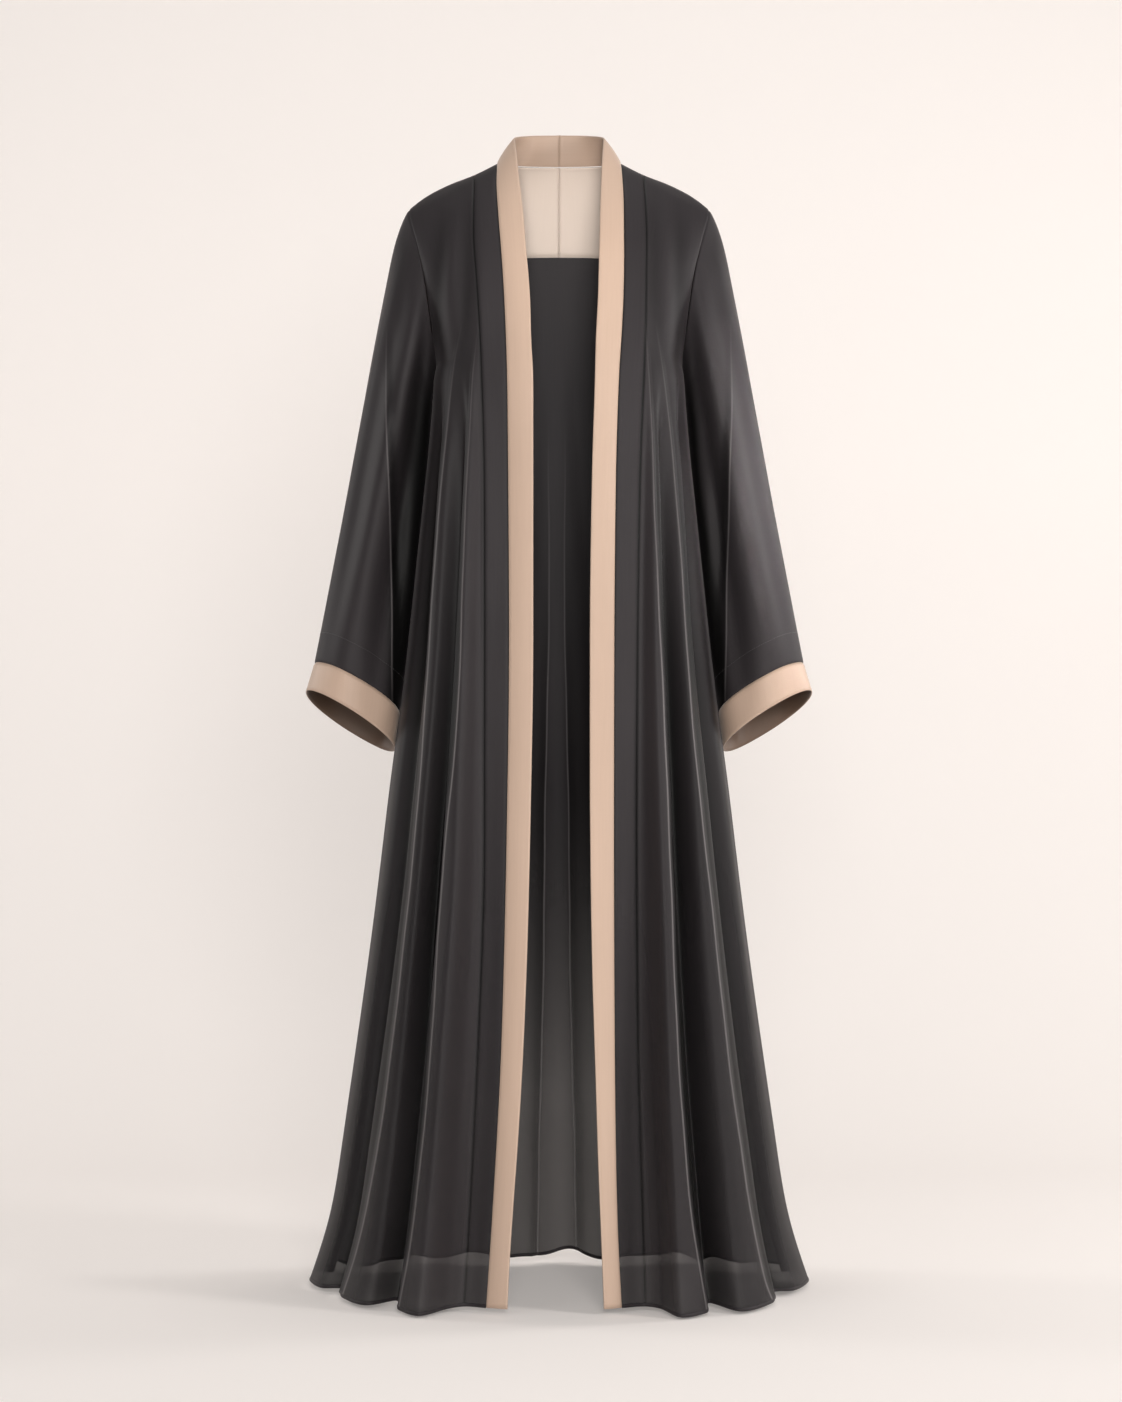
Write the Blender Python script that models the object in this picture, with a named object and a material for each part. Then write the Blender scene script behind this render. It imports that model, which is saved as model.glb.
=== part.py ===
"""Open-front abaya cloak filled out as if worn, with no wearer: thin cloth walls between shaped seams.

Metres, +Z up, front towards -Y, wearer's left towards +X. The origin lies midway between the high
points of the two shoulders, at their height; the hem is 1.42 m below it.
"""
import bpy
import numpy as np

# Cloth thicknesses and seam allowance, mm
GEORGETTE = 1.2
CREPE = 2.0
FACING_CLOTH = 1.1
SEAM_GAP = 0.3
FACING_ROWS = 6
FACING_OUT = 3
BAND_ACROSS = 4
STRIP_ACROSS = 2
SLEEVE_RINGS = 8
CUFF_RINGS = 2

SIDES = {"left": 1.0, "right": -1.0}

# Shoulder line: distance from the centre, height
SHOULDER = [(79, 0), (107, -14), (138, -26), (164, -38.5), (180, -48), (194, -57)]

# Height of each body row at the band seam, the strip seam and the side
UPPER_ROWS = [
    # band, strip, armhole: x, front y, z
    (0, -14, 194.0, 0, -57),
    (-5, -18, 193.0, -9, -59),
    (-14, -26, 191.0, -18, -66),
    (-28, -38, 187.5, -27, -78),
    (-48, -56, 183.0, -36, -94),
    (-75, -80, 177.5, -45, -115),
    (-108, -110, 171.5, -52, -140),
    (-145, -146, 166.0, -56, -170),
    (-182, -182, 162.0, -56, -200),
    (-212, -212, 159.0, -48, -226),
    (-236, -236, 157.5, -33, -246),
    (-254, -254, 157.0, -16, -260),
    (-265, -265, 157.0, 0, -265),
]
LOWER_ROWS = [-310, -370, -450, -550, -660, -780, -900, -1020, -1140, -1250, -1340, -1420]

# Back armhole of the same rows, then the centre back: x, y, z and y, z
BACK_ROWS = [
    (194.0, 0, -57, 60, 3),
    (193.5, 9, -58.5, 64, -1),
    (192.0, 19, -64, 70, -10),
    (189.5, 29, -75, 78, -24),
    (186.0, 38, -92, 87, -46),
    (181.5, 45, -114, 96, -75),
    (176.5, 50, -140, 103, -108),
    (171.0, 51, -170, 109, -145),
    (166.0, 48, -200, 113, -182),
    (162.0, 40, -226, 115.5, -212),
    (159.0, 28, -246, 117, -236),
    (157.5, 14, -260, 117.7, -254),
    (157.0, 0, -265, 118, -265),
]

# Outline of the hanging part: height, half width, side depth, back depth, roundness of front, back
BODY = [
    (-265, 157, 0, 118, 0.68, 0.82),
    (-370, 166, 5, 121, 0.65, 0.78),
    (-450, 174.5, 8, 125, 0.63, 0.75),
    (-550, 185, 11, 131, 0.61, 0.71),
    (-660, 197, 14, 138, 0.60, 0.67),
    (-780, 213, 18, 148, 0.60, 0.64),
    (-900, 227.5, 22, 160, 0.60, 0.62),
    (-1020, 243, 26, 172, 0.60, 0.61),
    (-1140, 260, 30, 185, 0.60, 0.60),
    (-1250, 276, 34, 197, 0.60, 0.60),
    (-1340, 292, 37, 207, 0.60, 0.60),
    (-1420, 317, 40, 215, 0.60, 0.60),
]

# Front lines: height, band seam x for wearer's left and right, strip seam x likewise
FRONT_X = [
    (0, 79, 79, 106, 107),
    (-27, 80.3, 79, 107.5, 107.4),
    (-60, 81.2, 77, 109, 107.4),
    (-100, 81.2, 73.8, 109.8, 107),
    (-150, 81, 70, 109, 103.5),
    (-210, 78.8, 66.8, 108, 99.5),
    (-285, 74.2, 64.3, 104.8, 96),
    (-409, 70.5, 63, 100, 92.8),
    (-607, 68.5, 61.8, 97, 92.2),
    (-877, 67.8, 65.1, 95.5, 92.3),
    (-1109, 68.6, 71, 97, 99.5),
    (-1290, 71, 80.5, 101.8, 108),
    (-1420, 77, 89, 105.5, 115.5),
]
# Height, depth of the band seam
SEAM_Y = [
    (0, 0), (-5, -14), (-14, -27), (-28, -41), (-48, -57), (-75, -73), (-108, -88), (-145, -99),
    (-210, -113), (-285, -125), (-409, -129), (-607, -137), (-877, -157), (-1109, -177),
    (-1290, -192), (-1420, -200),
]
# Height, depth of the strip seam
STRIP_Y = [
    (-14, 0), (-18, -12), (-26, -25), (-38, -38), (-56, -54), (-80, -70), (-110, -84), (-146, -95),
    (-212, -109), (-310, -121), (-409, -126), (-607, -132), (-877, -150), (-1048, -163),
    (-1230, -177), (-1420, -188),
]
# Free edge of the band beside the body rows at the neck: x of left and right, y, z
NECK_EDGE = [
    (57.3, 57.3, 2, 32),
    (56.0, 55.3, -18, 17),
    (54.8, 53.2, -33, 2),
    (53.6, 51.0, -48, -19),
    (52.4, 48.0, -64, -44),
    (51.4, 44.6, -80, -74),
]
# Free edge below: height, x of left and right, how far it stands forward of the band seam
FREE_EDGE = [
    (-75, 51.4, 44.6, 7),
    (-120, 50.2, 41, 8),
    (-185, 48.4, 36, 9),
    (-235, 45.8, 34.6, 9),
    (-285, 44.6, 32.1, 9),
    (-409, 40.8, 32, 9),
    (-607, 38.3, 32, 9),
    (-779, 38.2, 34.3, 9),
    (-987, 40.5, 39.2, 10),
    (-1109, 44.1, 44, 10),
    (-1230, 47.7, 51.2, 11),
    (-1350, 52.4, 59.6, 12),
    (-1420, 55, 63, 12),
]
# Neckband behind the shoulder point: seam x, seam y, seam z, top x, top y, top z at quarter turns
NECK_TOP = [
    (0, 63, 44),
    (30, 58, 43),
    (48, 42, 40),
    (56, 22, 36),
    (57.3, 2, 32),
]

# Folds of the fronts: place along the section from strip seam to side at the yoke, bust, waist,
# knee and hem, then how far each stands out from the plain section at waist, knee and hem, mm
FOLD_HEIGHTS = [-60, -250, -450, -870, -1420]
DEPTH_HEIGHTS = [-200, -245, -450, -870, -1420]
FRONT_FOLDS = {
    "left": [
        ("inner dip", 0.08, 0.03, 0.035, 0.035, 0.042, 0, 3, 12),
        ("first crest", 0.16, 0.07, 0.095, 0.10, 0.088, 8, 30, 66),
        ("first edge", 0.24, 0.11, 0.145, 0.165, 0.180, 6, 20, 44),
        ("first valley", 0.33, 0.16, 0.19, 0.215, 0.225, -9, -6, 3),
        ("second crest", 0.45, 0.29, 0.30, 0.31, 0.285, 5, 21, 50),
        ("second edge", 0.57, 0.36, 0.375, 0.435, 0.480, 5, 9, 17),
        ("second valley", 0.68, 0.45, 0.46, 0.52, 0.585, -8, -13, -14),
        ("side crest", 0.80, 0.62, 0.64, 0.68, 0.70, 0, 1, -4),
        ("side edge", 0.91, 0.84, 0.86, 0.87, 0.88, 0, 0, 0),
    ],
    "right": [
        ("inner dip", 0.08, 0.03, 0.035, 0.04, 0.048, 0, 3, 14),
        ("first crest", 0.16, 0.07, 0.095, 0.112, 0.118, 8, 28, 59),
        ("first edge", 0.24, 0.11, 0.145, 0.188, 0.215, 6, 17, 28),
        ("first valley", 0.33, 0.16, 0.19, 0.238, 0.262, -9, -8, -9),
        ("second crest", 0.45, 0.29, 0.30, 0.325, 0.345, 4, 12, 22),
        ("second edge", 0.57, 0.36, 0.385, 0.45, 0.58, 4, 3, -8),
        ("second valley", 0.68, 0.45, 0.47, 0.53, 0.665, -8, -11, -25),
        ("side crest", 0.80, 0.62, 0.64, 0.68, 0.75, 0, -1, -8),
        ("side edge", 0.91, 0.84, 0.86, 0.88, 0.92, 0, 0, 0),
    ],
}
# Folds of the back from the side to the centre, read the same way; the third line starts at the
# high shoulder point
BACK_FOLDS = {
    "left": [
        ("side valley", 0.11, 0.15, 0.15, 0.14, 0.13, -7, -12, -20),
        ("side crest", 0.22, 0.25, 0.26, 0.27, 0.26, 2, 14, 32),
        ("blade valley", 0.33, 0.38, 0.39, 0.41, 0.42, -2, -8, -18),
        ("blade crest", 0.55, 0.57, 0.58, 0.59, 0.60, 2, 15, 36),
        ("inner valley", 0.77, 0.78, 0.78, 0.79, 0.80, -2, -8, -16),
    ],
    "right": [
        ("side valley", 0.11, 0.15, 0.15, 0.13, 0.12, -7, -12, -18),
        ("side crest", 0.22, 0.25, 0.25, 0.24, 0.25, 2, 13, 30),
        ("blade valley", 0.33, 0.38, 0.39, 0.40, 0.40, -2, -9, -20),
        ("blade crest", 0.55, 0.57, 0.57, 0.58, 0.59, 2, 17, 38),
        ("inner valley", 0.77, 0.78, 0.79, 0.80, 0.81, -2, -7, -14),
    ],
}
CENTRE_BACK = (0, 0, 2, 10, 22)
BETWEEN_FRONT = 3
BETWEEN_BACK = 3
# How far the hem dips at a crest, as a share of how far the crest stands out
HEM_DIP = 0.06

# Sleeve: outer line x, z and the line next to the body x, z, then the middle's y and half depth
SLEEVE = [
    (194, -57, 157, -265, 0, 55),
    (209, -105, 161.5, -300, 4, 64),
    (223, -172, 165.5, -345, 9, 70),
    (236, -240, 169.5, -393, 13, 72),
    (248, -306, 174, -440, 16, 72),
    (260.5, -374, 179, -486, 19, 71),
    (273, -443, 184, -532, 21, 70),
    (286, -511, 189.5, -577, 23, 69),
    (299, -577, 195.5, -632, 25, 67),
    (311.5, -638, 203, -697, 26, 65),
]
CUFF_END = (322.5, -673, 208.5, -742, 27, 65)
CUFF_SLANT = 17
# Sleeve folds: place round the sleeve at the cap and cuff in degrees from the outer line towards
# the front, depth at the cap, middle and cuff, half width in degrees
SLEEVE_FOLDS = [
    (40, 22, 2, 3, 1, 16),
    (95, 78, 5, 7, 3, 18),
    (126, 118, -6, -11, -5, 20),
    (62, 50, -2, -3, -1, 16),
    (232, 240, 3, 7, 3, 22),
    (286, 280, -3, -6, -3, 20),
]

MATERIALS = {
    "charcoal_georgette": ((0.045, 0.042, 0.044), 0.62),
    "tan_crepe": ((0.60, 0.42, 0.29), 0.48),
    "beige_facing": ((0.66, 0.52, 0.42), 0.55),
}


def smooth_table(rows, at):
    """Reads a table of (key, value...) rows at one key with a smooth curve that never overshoots."""
    rows = np.array(rows, float)
    if rows[0, 0] > rows[-1, 0]:
        rows = rows[::-1]
    keys, values = rows[:, 0], rows[:, 1:]
    at = min(max(at, keys[0]), keys[-1])
    step = np.diff(keys)
    rise = np.diff(values, axis=0) / step[:, None]
    slope = np.zeros_like(values)
    same = rise[:-1] * rise[1:] > 0
    weight_a = (2 * step[1:] + step[:-1])[:, None]
    weight_b = (step[1:] + 2 * step[:-1])[:, None]
    with np.errstate(divide="ignore", invalid="ignore"):
        mean = (weight_a + weight_b) / (weight_a / rise[:-1] + weight_b / rise[1:])
    slope[1:-1] = np.where(same, mean, 0)
    slope[0], slope[-1] = rise[0], rise[-1]
    i = min(int(np.searchsorted(keys, at, side="right")) - 1, len(keys) - 2)
    t = (at - keys[i]) / step[i]
    h = step[i]
    return (
        (2 * t**3 - 3 * t**2 + 1) * values[i]
        + (t**3 - 2 * t**2 + t) * h * slope[i]
        + (-2 * t**3 + 3 * t**2) * values[i + 1]
        + (t**3 - t**2) * h * slope[i + 1]
    )


def bezier(p0, p1, p2, p3, t):
    t = np.asarray(t, float)[..., None]
    return (1 - t) ** 3 * p0 + 3 * (1 - t) ** 2 * t * p1 + 3 * (1 - t) * t**2 * p2 + t**3 * p3


def unit(v):
    return v / np.maximum(np.linalg.norm(v, axis=-1, keepdims=True), 1e-9)


def through(points, counts):
    """A smooth line through the points, first and last being guides only, with counts of steps."""
    points = np.array(points, float)
    out = []
    for i, count in enumerate(counts):
        p0, p1, p2, p3 = points[i : i + 4]
        k = [0.0]
        for a, b in ((p0, p1), (p1, p2), (p2, p3)):
            k.append(k[-1] + max(np.linalg.norm(b - a), 1e-3) ** 0.5)
        for j in range(count):
            t = k[1] + (k[2] - k[1]) * j / count
            a1 = (k[1] - t) / (k[1] - k[0]) * p0 + (t - k[0]) / (k[1] - k[0]) * p1
            a2 = (k[2] - t) / (k[2] - k[1]) * p1 + (t - k[1]) / (k[2] - k[1]) * p2
            a3 = (k[3] - t) / (k[3] - k[2]) * p2 + (t - k[2]) / (k[3] - k[2]) * p3
            b1 = (k[2] - t) / (k[2] - k[0]) * a1 + (t - k[0]) / (k[2] - k[0]) * a2
            b2 = (k[3] - t) / (k[3] - k[1]) * a2 + (t - k[1]) / (k[3] - k[1]) * a3
            out.append((k[2] - t) / (k[2] - k[1]) * b1 + (t - k[1]) / (k[2] - k[1]) * b2)
    out.append(points[-2])
    return np.array(out)


class Section:
    """A plain curve that shares are read along, with the outward direction beside it."""

    def __init__(self, p0, p1, p2, p3, outward):
        self.points = bezier(*[np.array(p, float) for p in (p0, p1, p2, p3)], np.linspace(0, 1, 241))
        length = np.linalg.norm(np.diff(self.points, axis=0), axis=1)
        self.shares = np.concatenate([[0], np.cumsum(length)]) / length.sum()
        self.outward = outward

    def at(self, share):
        return np.array([np.interp(share, self.shares, self.points[:, i]) for i in range(3)])

    def out(self, share):
        along = unit(self.at(min(share + 0.01, 1)) - self.at(max(share - 0.01, 0)))
        side = np.cross(along, (0, 0, 1.0))
        side[2] = 0
        side = unit(side)
        return side if side @ self.outward > 0 else -side


def row_count():
    return len(UPPER_ROWS) + len(LOWER_ROWS)


def row_levels(row):
    """Heights of the band seam and strip seam on this row."""
    if row < len(UPPER_ROWS):
        return UPPER_ROWS[row][0], UPPER_ROWS[row][1]
    level = LOWER_ROWS[row - len(UPPER_ROWS)]
    return level, level


def front_lines(row, side):
    """Band seam and strip seam points on this row, for x > 0."""
    band_z, strip_z = row_levels(row)
    which = 0 if side == "left" else 1
    band_x = smooth_table(FRONT_X, band_z)[which]
    strip_x = smooth_table(FRONT_X, strip_z)[2 + which]
    if row == 0:
        strip_z = float(np.interp(strip_x, *zip(*SHOULDER)))
    band = (band_x, float(smooth_table(SEAM_Y, band_z)[0]), band_z)
    strip = (strip_x, float(smooth_table(STRIP_Y, strip_z)[0]), strip_z)
    return np.array(band), np.array(strip)


def free_edge(row, side):
    which = 0 if side == "left" else 1
    if row < len(NECK_EDGE):
        x, y, z = NECK_EDGE[row][which], NECK_EDGE[row][2], NECK_EDGE[row][3]
        return np.array((x, y, z), float)
    level = row_levels(row)[0]
    values = smooth_table(FREE_EDGE, level)
    return np.array((values[which], smooth_table(SEAM_Y, level)[0] - values[2], level))


def front_section(row, side):
    """The plain front from strip seam to armhole or side, for x > 0."""
    strip = front_lines(row, side)[1]
    if row >= len(UPPER_ROWS) - 1:
        level = row_levels(row)[1]
        half, side_y, _, full, _ = smooth_table(BODY, level)
        end = np.array((half, side_y, level))
        h0, h1 = full * (half - strip[0]), full * (side_y - strip[1])
        return Section(strip, strip + h0 * np.array((1, 0.1, 0)), end - (0, h1, 0), end, (1, -1, 0))
    x, y, z = UPPER_ROWS[row][2:]
    end = np.array((x, y, z), float)
    chord = end - strip
    length = np.linalg.norm(chord)
    turn = (row / (len(UPPER_ROWS) - 1)) ** 1.2
    start_way = unit((1 - turn) * unit(chord) + turn * np.array((1, 0.1, 0)))
    end_way = unit((1 - turn) * unit(chord) + turn * np.array((0.05, 1, 0)))
    reach = 0.36 * length * (1 - turn)
    full = BODY[0][4]
    first = reach + turn * full * (x - strip[0])
    last = reach + turn * full * (y - strip[1])
    return Section(strip, strip + first * start_way, end - last * end_way, end, (1, -1, 0))


def back_section(row):
    """The plain back from armhole or side to the centre back, for x > 0."""
    if row >= len(UPPER_ROWS) - 1:
        level = row_levels(row)[1]
        half, side_y, back_y, _, full = smooth_table(BODY, level)
        start, end = np.array((half, side_y, level)), np.array((0, back_y, level))
        h0, h1 = full * (back_y - side_y), full * half
        return Section(start, start + (0, h0, 0), end + (h1, 0, 0), end, (0, 1, 0))
    x, y, z, centre_y, centre_z = BACK_ROWS[row]
    start, end = np.array((x, y, z), float), np.array((0, centre_y, centre_z), float)
    turn = (row / (len(UPPER_ROWS) - 1)) ** 1.2
    shoulder_way = unit(np.array((-1.0, 0.12, 0.45)))
    start_way = unit((1 - turn) * shoulder_way + turn * np.array((0.05, 1, 0)))
    reach = 0.38 * np.linalg.norm(end - start) * (1 - turn)
    full = BODY[0][5]
    first, last = reach + turn * full * (centre_y - y), reach + turn * full * x
    return Section(start, start + first * start_way, end + (last, 0, 0), end, (0, 1, 0))


def fold_points(section, folds, level):
    """The points that one row's smooth line goes through: each fold's place and how far it stands out."""
    points = []
    for fold in folds:
        share = smooth_table(list(zip(FOLD_HEIGHTS, fold[1:6])), level)[0]
        depth = smooth_table(list(zip(DEPTH_HEIGHTS, (0, 0) + tuple(fold[6:]))), level)[0]
        dip = HEM_DIP * max(depth, 0) * (level / LOWER_ROWS[-1]) ** 12
        points.append(section.at(share) + depth * section.out(share) - (0, 0, dip))
    return points


def shoulder_neck(share):
    """The top of the back: along the shoulder to its high point, then round the back of the neck."""
    turn_at = BACK_FOLDS["left"][2][1]
    if share <= turn_at:
        x = 194 + (79 - 194) * share / turn_at
        return np.array((x, 0, float(np.interp(x, *zip(*SHOULDER)))))
    angle = (share - turn_at) / (1 - turn_at) * np.pi / 2
    return np.array((79 * np.cos(angle), 60 * np.sin(angle), 3 * np.sin(angle)))


def mirror(points, side):
    return np.asarray(points) * (SIDES[side], 1, 1)


def build_rows():
    """The grids of both fronts, with their strips, and of the back."""
    fronts = {"left": [], "right": []}
    back = []
    front_counts = [STRIP_ACROSS] + [BETWEEN_FRONT] * 10
    for row in range(row_count()):
        level = row_levels(row)[1]
        hanging = row >= len(UPPER_ROWS) - 1
        half = {}
        for side in SIDES:
            band, strip = front_lines(row, side)
            section = front_section(row, side)
            folds = fold_points(section, FRONT_FOLDS[side], level)
            line = [free_edge(row, side), band, strip] + folds + [section.points[-1]]
            rear = back_section(row)
            hollows = fold_points(rear, BACK_FOLDS[side], level)
            fade = max(0.0, 1 - row / 8) ** 2
            if fade > 0:
                top = back_section(0)
                for k, fold in enumerate(BACK_FOLDS[side]):
                    share = smooth_table(list(zip(FOLD_HEIGHTS, fold[1:6])), level)[0]
                    hollows[k] = hollows[k] + fade * (shoulder_neck(share) - top.at(share))
            half[side] = (mirror(line, side), mirror([rear.points[0]] + hollows, side))
        depth = smooth_table(list(zip(DEPTH_HEIGHTS, CENTRE_BACK)), level)[0]
        centre = back_section(row).points[-1] + (0, depth, 0)
        left, right = half["left"], half["right"]
        for side, (own, other) in {"left": (left, right), "right": (right, left)}.items():
            beyond = own[1][1] if hanging else 2 * own[0][-1] - own[0][-2]
            fronts[side].append(through(list(own[0]) + [beyond], front_counts))
        behind = list(left[1]) + [centre] + list(right[1])[::-1]
        if hanging:
            guide_a, guide_b = left[0][-2], right[0][-2]
        else:
            guide_a, guide_b = 2 * behind[0] - behind[1], 2 * behind[-1] - behind[-2]
        back.append(through([guide_a] + behind + [guide_b], [BETWEEN_BACK] * (len(behind) - 1)))
    fronts = {side: np.array(rows) for side, rows in fronts.items()}
    back = np.array(back)
    middle = back.shape[1] // 2
    corner = 3 * BETWEEN_BACK
    for side, way in (("left", 1), ("right", -1)):
        for k in range(middle + 1):
            column = k if way == 1 else back.shape[1] - 1 - k
            if k <= corner:
                share = BACK_FOLDS["left"][2][1] * k / corner
            else:
                share = BACK_FOLDS["left"][2][1] + (1 - BACK_FOLDS["left"][2][1]) * (k - corner) / (middle - corner)
            back[0, column] = mirror(shoulder_neck(share), side)
        for k in range(fronts[side].shape[1]):
            point = fronts[side][0, k]
            x = float(np.clip(abs(point[0]), 79, 194))
            fronts[side][0, k] = (SIDES[side] * x, 0, float(np.interp(x, *zip(*SHOULDER))))
    return fronts, back


def grid_normals(grid, ring=False):
    """Directions across the cloth, rows down and columns across, unit length."""
    down = np.empty_like(grid)
    down[1:-1] = unit(grid[2:] - grid[1:-1]) + unit(grid[1:-1] - grid[:-2])
    down[0], down[-1] = grid[1] - grid[0], grid[-1] - grid[-2]
    across = np.empty_like(grid)
    if ring:
        across[:] = unit(np.roll(grid, -1, 1) - grid) + unit(grid - np.roll(grid, 1, 1))
    else:
        across[:, 1:-1] = unit(grid[:, 2:] - grid[:, 1:-1]) + unit(grid[:, 1:-1] - grid[:, :-2])
        across[:, 0] = grid[:, 1] - grid[:, 0]
        across[:, -1] = grid[:, -1] - grid[:, -2]
    return unit(np.cross(across, down))


def outward(grid, normals, centre=(0, 0)):
    """Turns the directions so that they point away from the hollow's axis, over the grid as a whole."""
    away = grid[..., :2] - np.array(centre)
    return normals if (away * normals[..., :2]).sum() > 0 else -normals


def trimmed(grid, top=False, bottom=False, first=False, last=False):
    """The grid with half the seam gap taken off the named edges, along the cloth."""
    grid = grid.copy()
    half = SEAM_GAP / 2
    source = grid.copy()
    if top:
        grid[0] += half * unit(source[1] - source[0])
    if bottom:
        grid[-1] += half * unit(source[-2] - source[-1])
    if first:
        grid[:, 0] += half * unit(source[:, 1] - source[:, 0])
    if last:
        grid[:, -1] += half * unit(source[:, -2] - source[:, -1])
    return grid


def diagonals(grid, ring=False):
    """For each cell, whether the shorter diagonal runs from its first corner."""
    right = np.roll(grid, -1, 1) if ring else grid[:, 1:]
    left = grid if ring else grid[:, :-1]
    first = np.linalg.norm(right[1:] - left[:-1], axis=-1)
    second = np.linalg.norm(left[1:] - right[:-1], axis=-1)
    return first <= second


def cloth_wall(name, outer, inner, material, ring=False, diagonal=None):
    """A closed thin wall between two matching grids, as triangles, with the rims filled."""
    rows, columns = outer.shape[:2]
    points = np.concatenate([outer.reshape(-1, 3), inner.reshape(-1, 3)])
    offset = rows * columns
    if diagonal is None:
        diagonal = diagonals(outer, ring)
    faces = []

    def index(r, c):
        return r * columns + c % columns

    def quad(a, b, c, d):
        faces.append((a, b, c))
        faces.append((a, c, d))

    for r in range(rows - 1):
        for c in range(columns if ring else columns - 1):
            a, b = index(r, c), index(r, c + 1)
            d, e = index(r + 1, c), index(r + 1, c + 1)
            if diagonal[r, c]:
                pair = [(a, b, e), (a, e, d)]
            else:
                pair = [(a, b, d), (b, e, d)]
            for tri in pair:
                faces.append(tri)
                faces.append(tuple(offset + i for i in reversed(tri)))
    for c in range(columns if ring else columns - 1):
        a, b = index(0, c), index(0, c + 1)
        quad(b, a, a + offset, b + offset)
        a, b = index(rows - 1, c), index(rows - 1, c + 1)
        quad(a, b, b + offset, a + offset)
    if not ring:
        for r in range(rows - 1):
            a, b = index(r, 0), index(r + 1, 0)
            quad(a, b, b + offset, a + offset)
            a, b = index(r, columns - 1), index(r + 1, columns - 1)
            quad(b, a, a + offset, b + offset)
    faces = np.array(faces)
    corners = points[faces]
    volume = np.einsum("ij,ij->i", corners[:, 0], np.cross(corners[:, 1], corners[:, 2])).sum()
    if volume < 0:
        faces = faces[:, ::-1]
    mesh = bpy.data.meshes.new(name)
    mesh.from_pydata((points * 0.001).tolist(), [], faces.tolist())
    mesh.update()
    for polygon in mesh.polygons:
        polygon.use_smooth = True
    mesh.materials.append(material)
    body = bpy.data.objects.new(name, mesh)
    bpy.context.scene.collection.objects.link(body)
    return body


def make_materials():
    made = {}
    for name, (colour, roughness) in MATERIALS.items():
        material = bpy.data.materials.new(name)
        material.use_nodes = True
        shader = material.node_tree.nodes["Principled BSDF"]
        shader.inputs["Base Color"].default_value = (*colour, 1)
        shader.inputs["Roughness"].default_value = roughness
        shader.inputs["Metallic"].default_value = 0
        made[name] = material
    return made


def sleeve_grid(loop, side):
    """Rings from the armhole loop to the cuff seam; the loop starts at the shoulder and goes by the front."""
    count = len(loop)
    table = [(k / (len(SLEEVE) - 1),) + row for k, row in enumerate(SLEEVE)]

    def frame(values):
        x0, z0, x1, z1, mid_y, half_y = values
        top, low = np.array((x0, mid_y, z0)), np.array((x1, mid_y, z1))
        return (top + low) / 2, (top - low) / 2, half_y

    centre, arm, half = frame(SLEEVE[0])
    loop = loop * (SIDES[side], 1, 1)
    along = unit(arm)
    local = loop - centre
    a = local @ along / np.linalg.norm(arm)
    b = -local[:, 1] / half
    off = local - (a * np.linalg.norm(arm))[:, None] * along + (b * half)[:, None] * np.array((0, 1, 0))
    step = np.linalg.norm(np.roll(loop, -1, 0) - loop, axis=1)
    travelled = np.concatenate([[0], np.cumsum(step)[:-1]]) / step.sum()
    low_at = travelled[count // 2]
    turn = np.where(travelled < low_at, travelled / low_at / 2, 0.5 + (travelled - low_at) / (1 - low_at) / 2)
    angle = 2 * np.pi * turn
    grid = []
    for k in range(SLEEVE_RINGS + CUFF_RINGS + 1):
        if k <= SLEEVE_RINGS:
            w = k / SLEEVE_RINGS
            values = smooth_table(table, w)
        else:
            w = 1.0
            t = (k - SLEEVE_RINGS) / CUFF_RINGS
            values = np.array(SLEEVE[-1]) * (1 - t) + np.array(CUFF_END) * t
        centre, arm, half = frame(values)
        blend = min(1.0, w / 0.35)
        blend = blend * blend * (3 - 2 * blend)
        power = 0.92
        ring_a = np.sign(np.cos(angle)) * np.abs(np.cos(angle)) ** power
        ring_b = np.sign(np.sin(angle)) * np.abs(np.sin(angle)) ** power
        ca = (1 - blend) * a + blend * ring_a
        cb = (1 - blend) * b + blend * ring_b
        slant = CUFF_SLANT * w**2
        ring = centre + ca[:, None] * arm - cb[:, None] * np.array((0, half, 0))
        ring = ring + cb[:, None] * np.array((0, 0, slant)) + (1 - blend) * off
        fold_way = unit(ca[:, None] * unit(arm) * 1.0 - cb[:, None] * np.array((0, 1.0, 0)))
        push = np.zeros(count)
        for cap, cuff, d0, d1, d2, width in SLEEVE_FOLDS:
            place = np.radians(cap + (cuff - cap) * w)
            depth = (1 - w) ** 2 * d0 + 2 * w * (1 - w) * 2 * d1 + w**2 * d2
            depth *= min(1.0, w / 0.15)
            if k > SLEEVE_RINGS:
                depth *= 0.6
            gap = (angle - place + np.pi) % (2 * np.pi) - np.pi
            push += depth * np.exp(-((gap / np.radians(width)) ** 2))
        grid.append(ring + push[:, None] * fold_way)
    return np.array(grid) * (SIDES[side], 1, 1)


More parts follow.
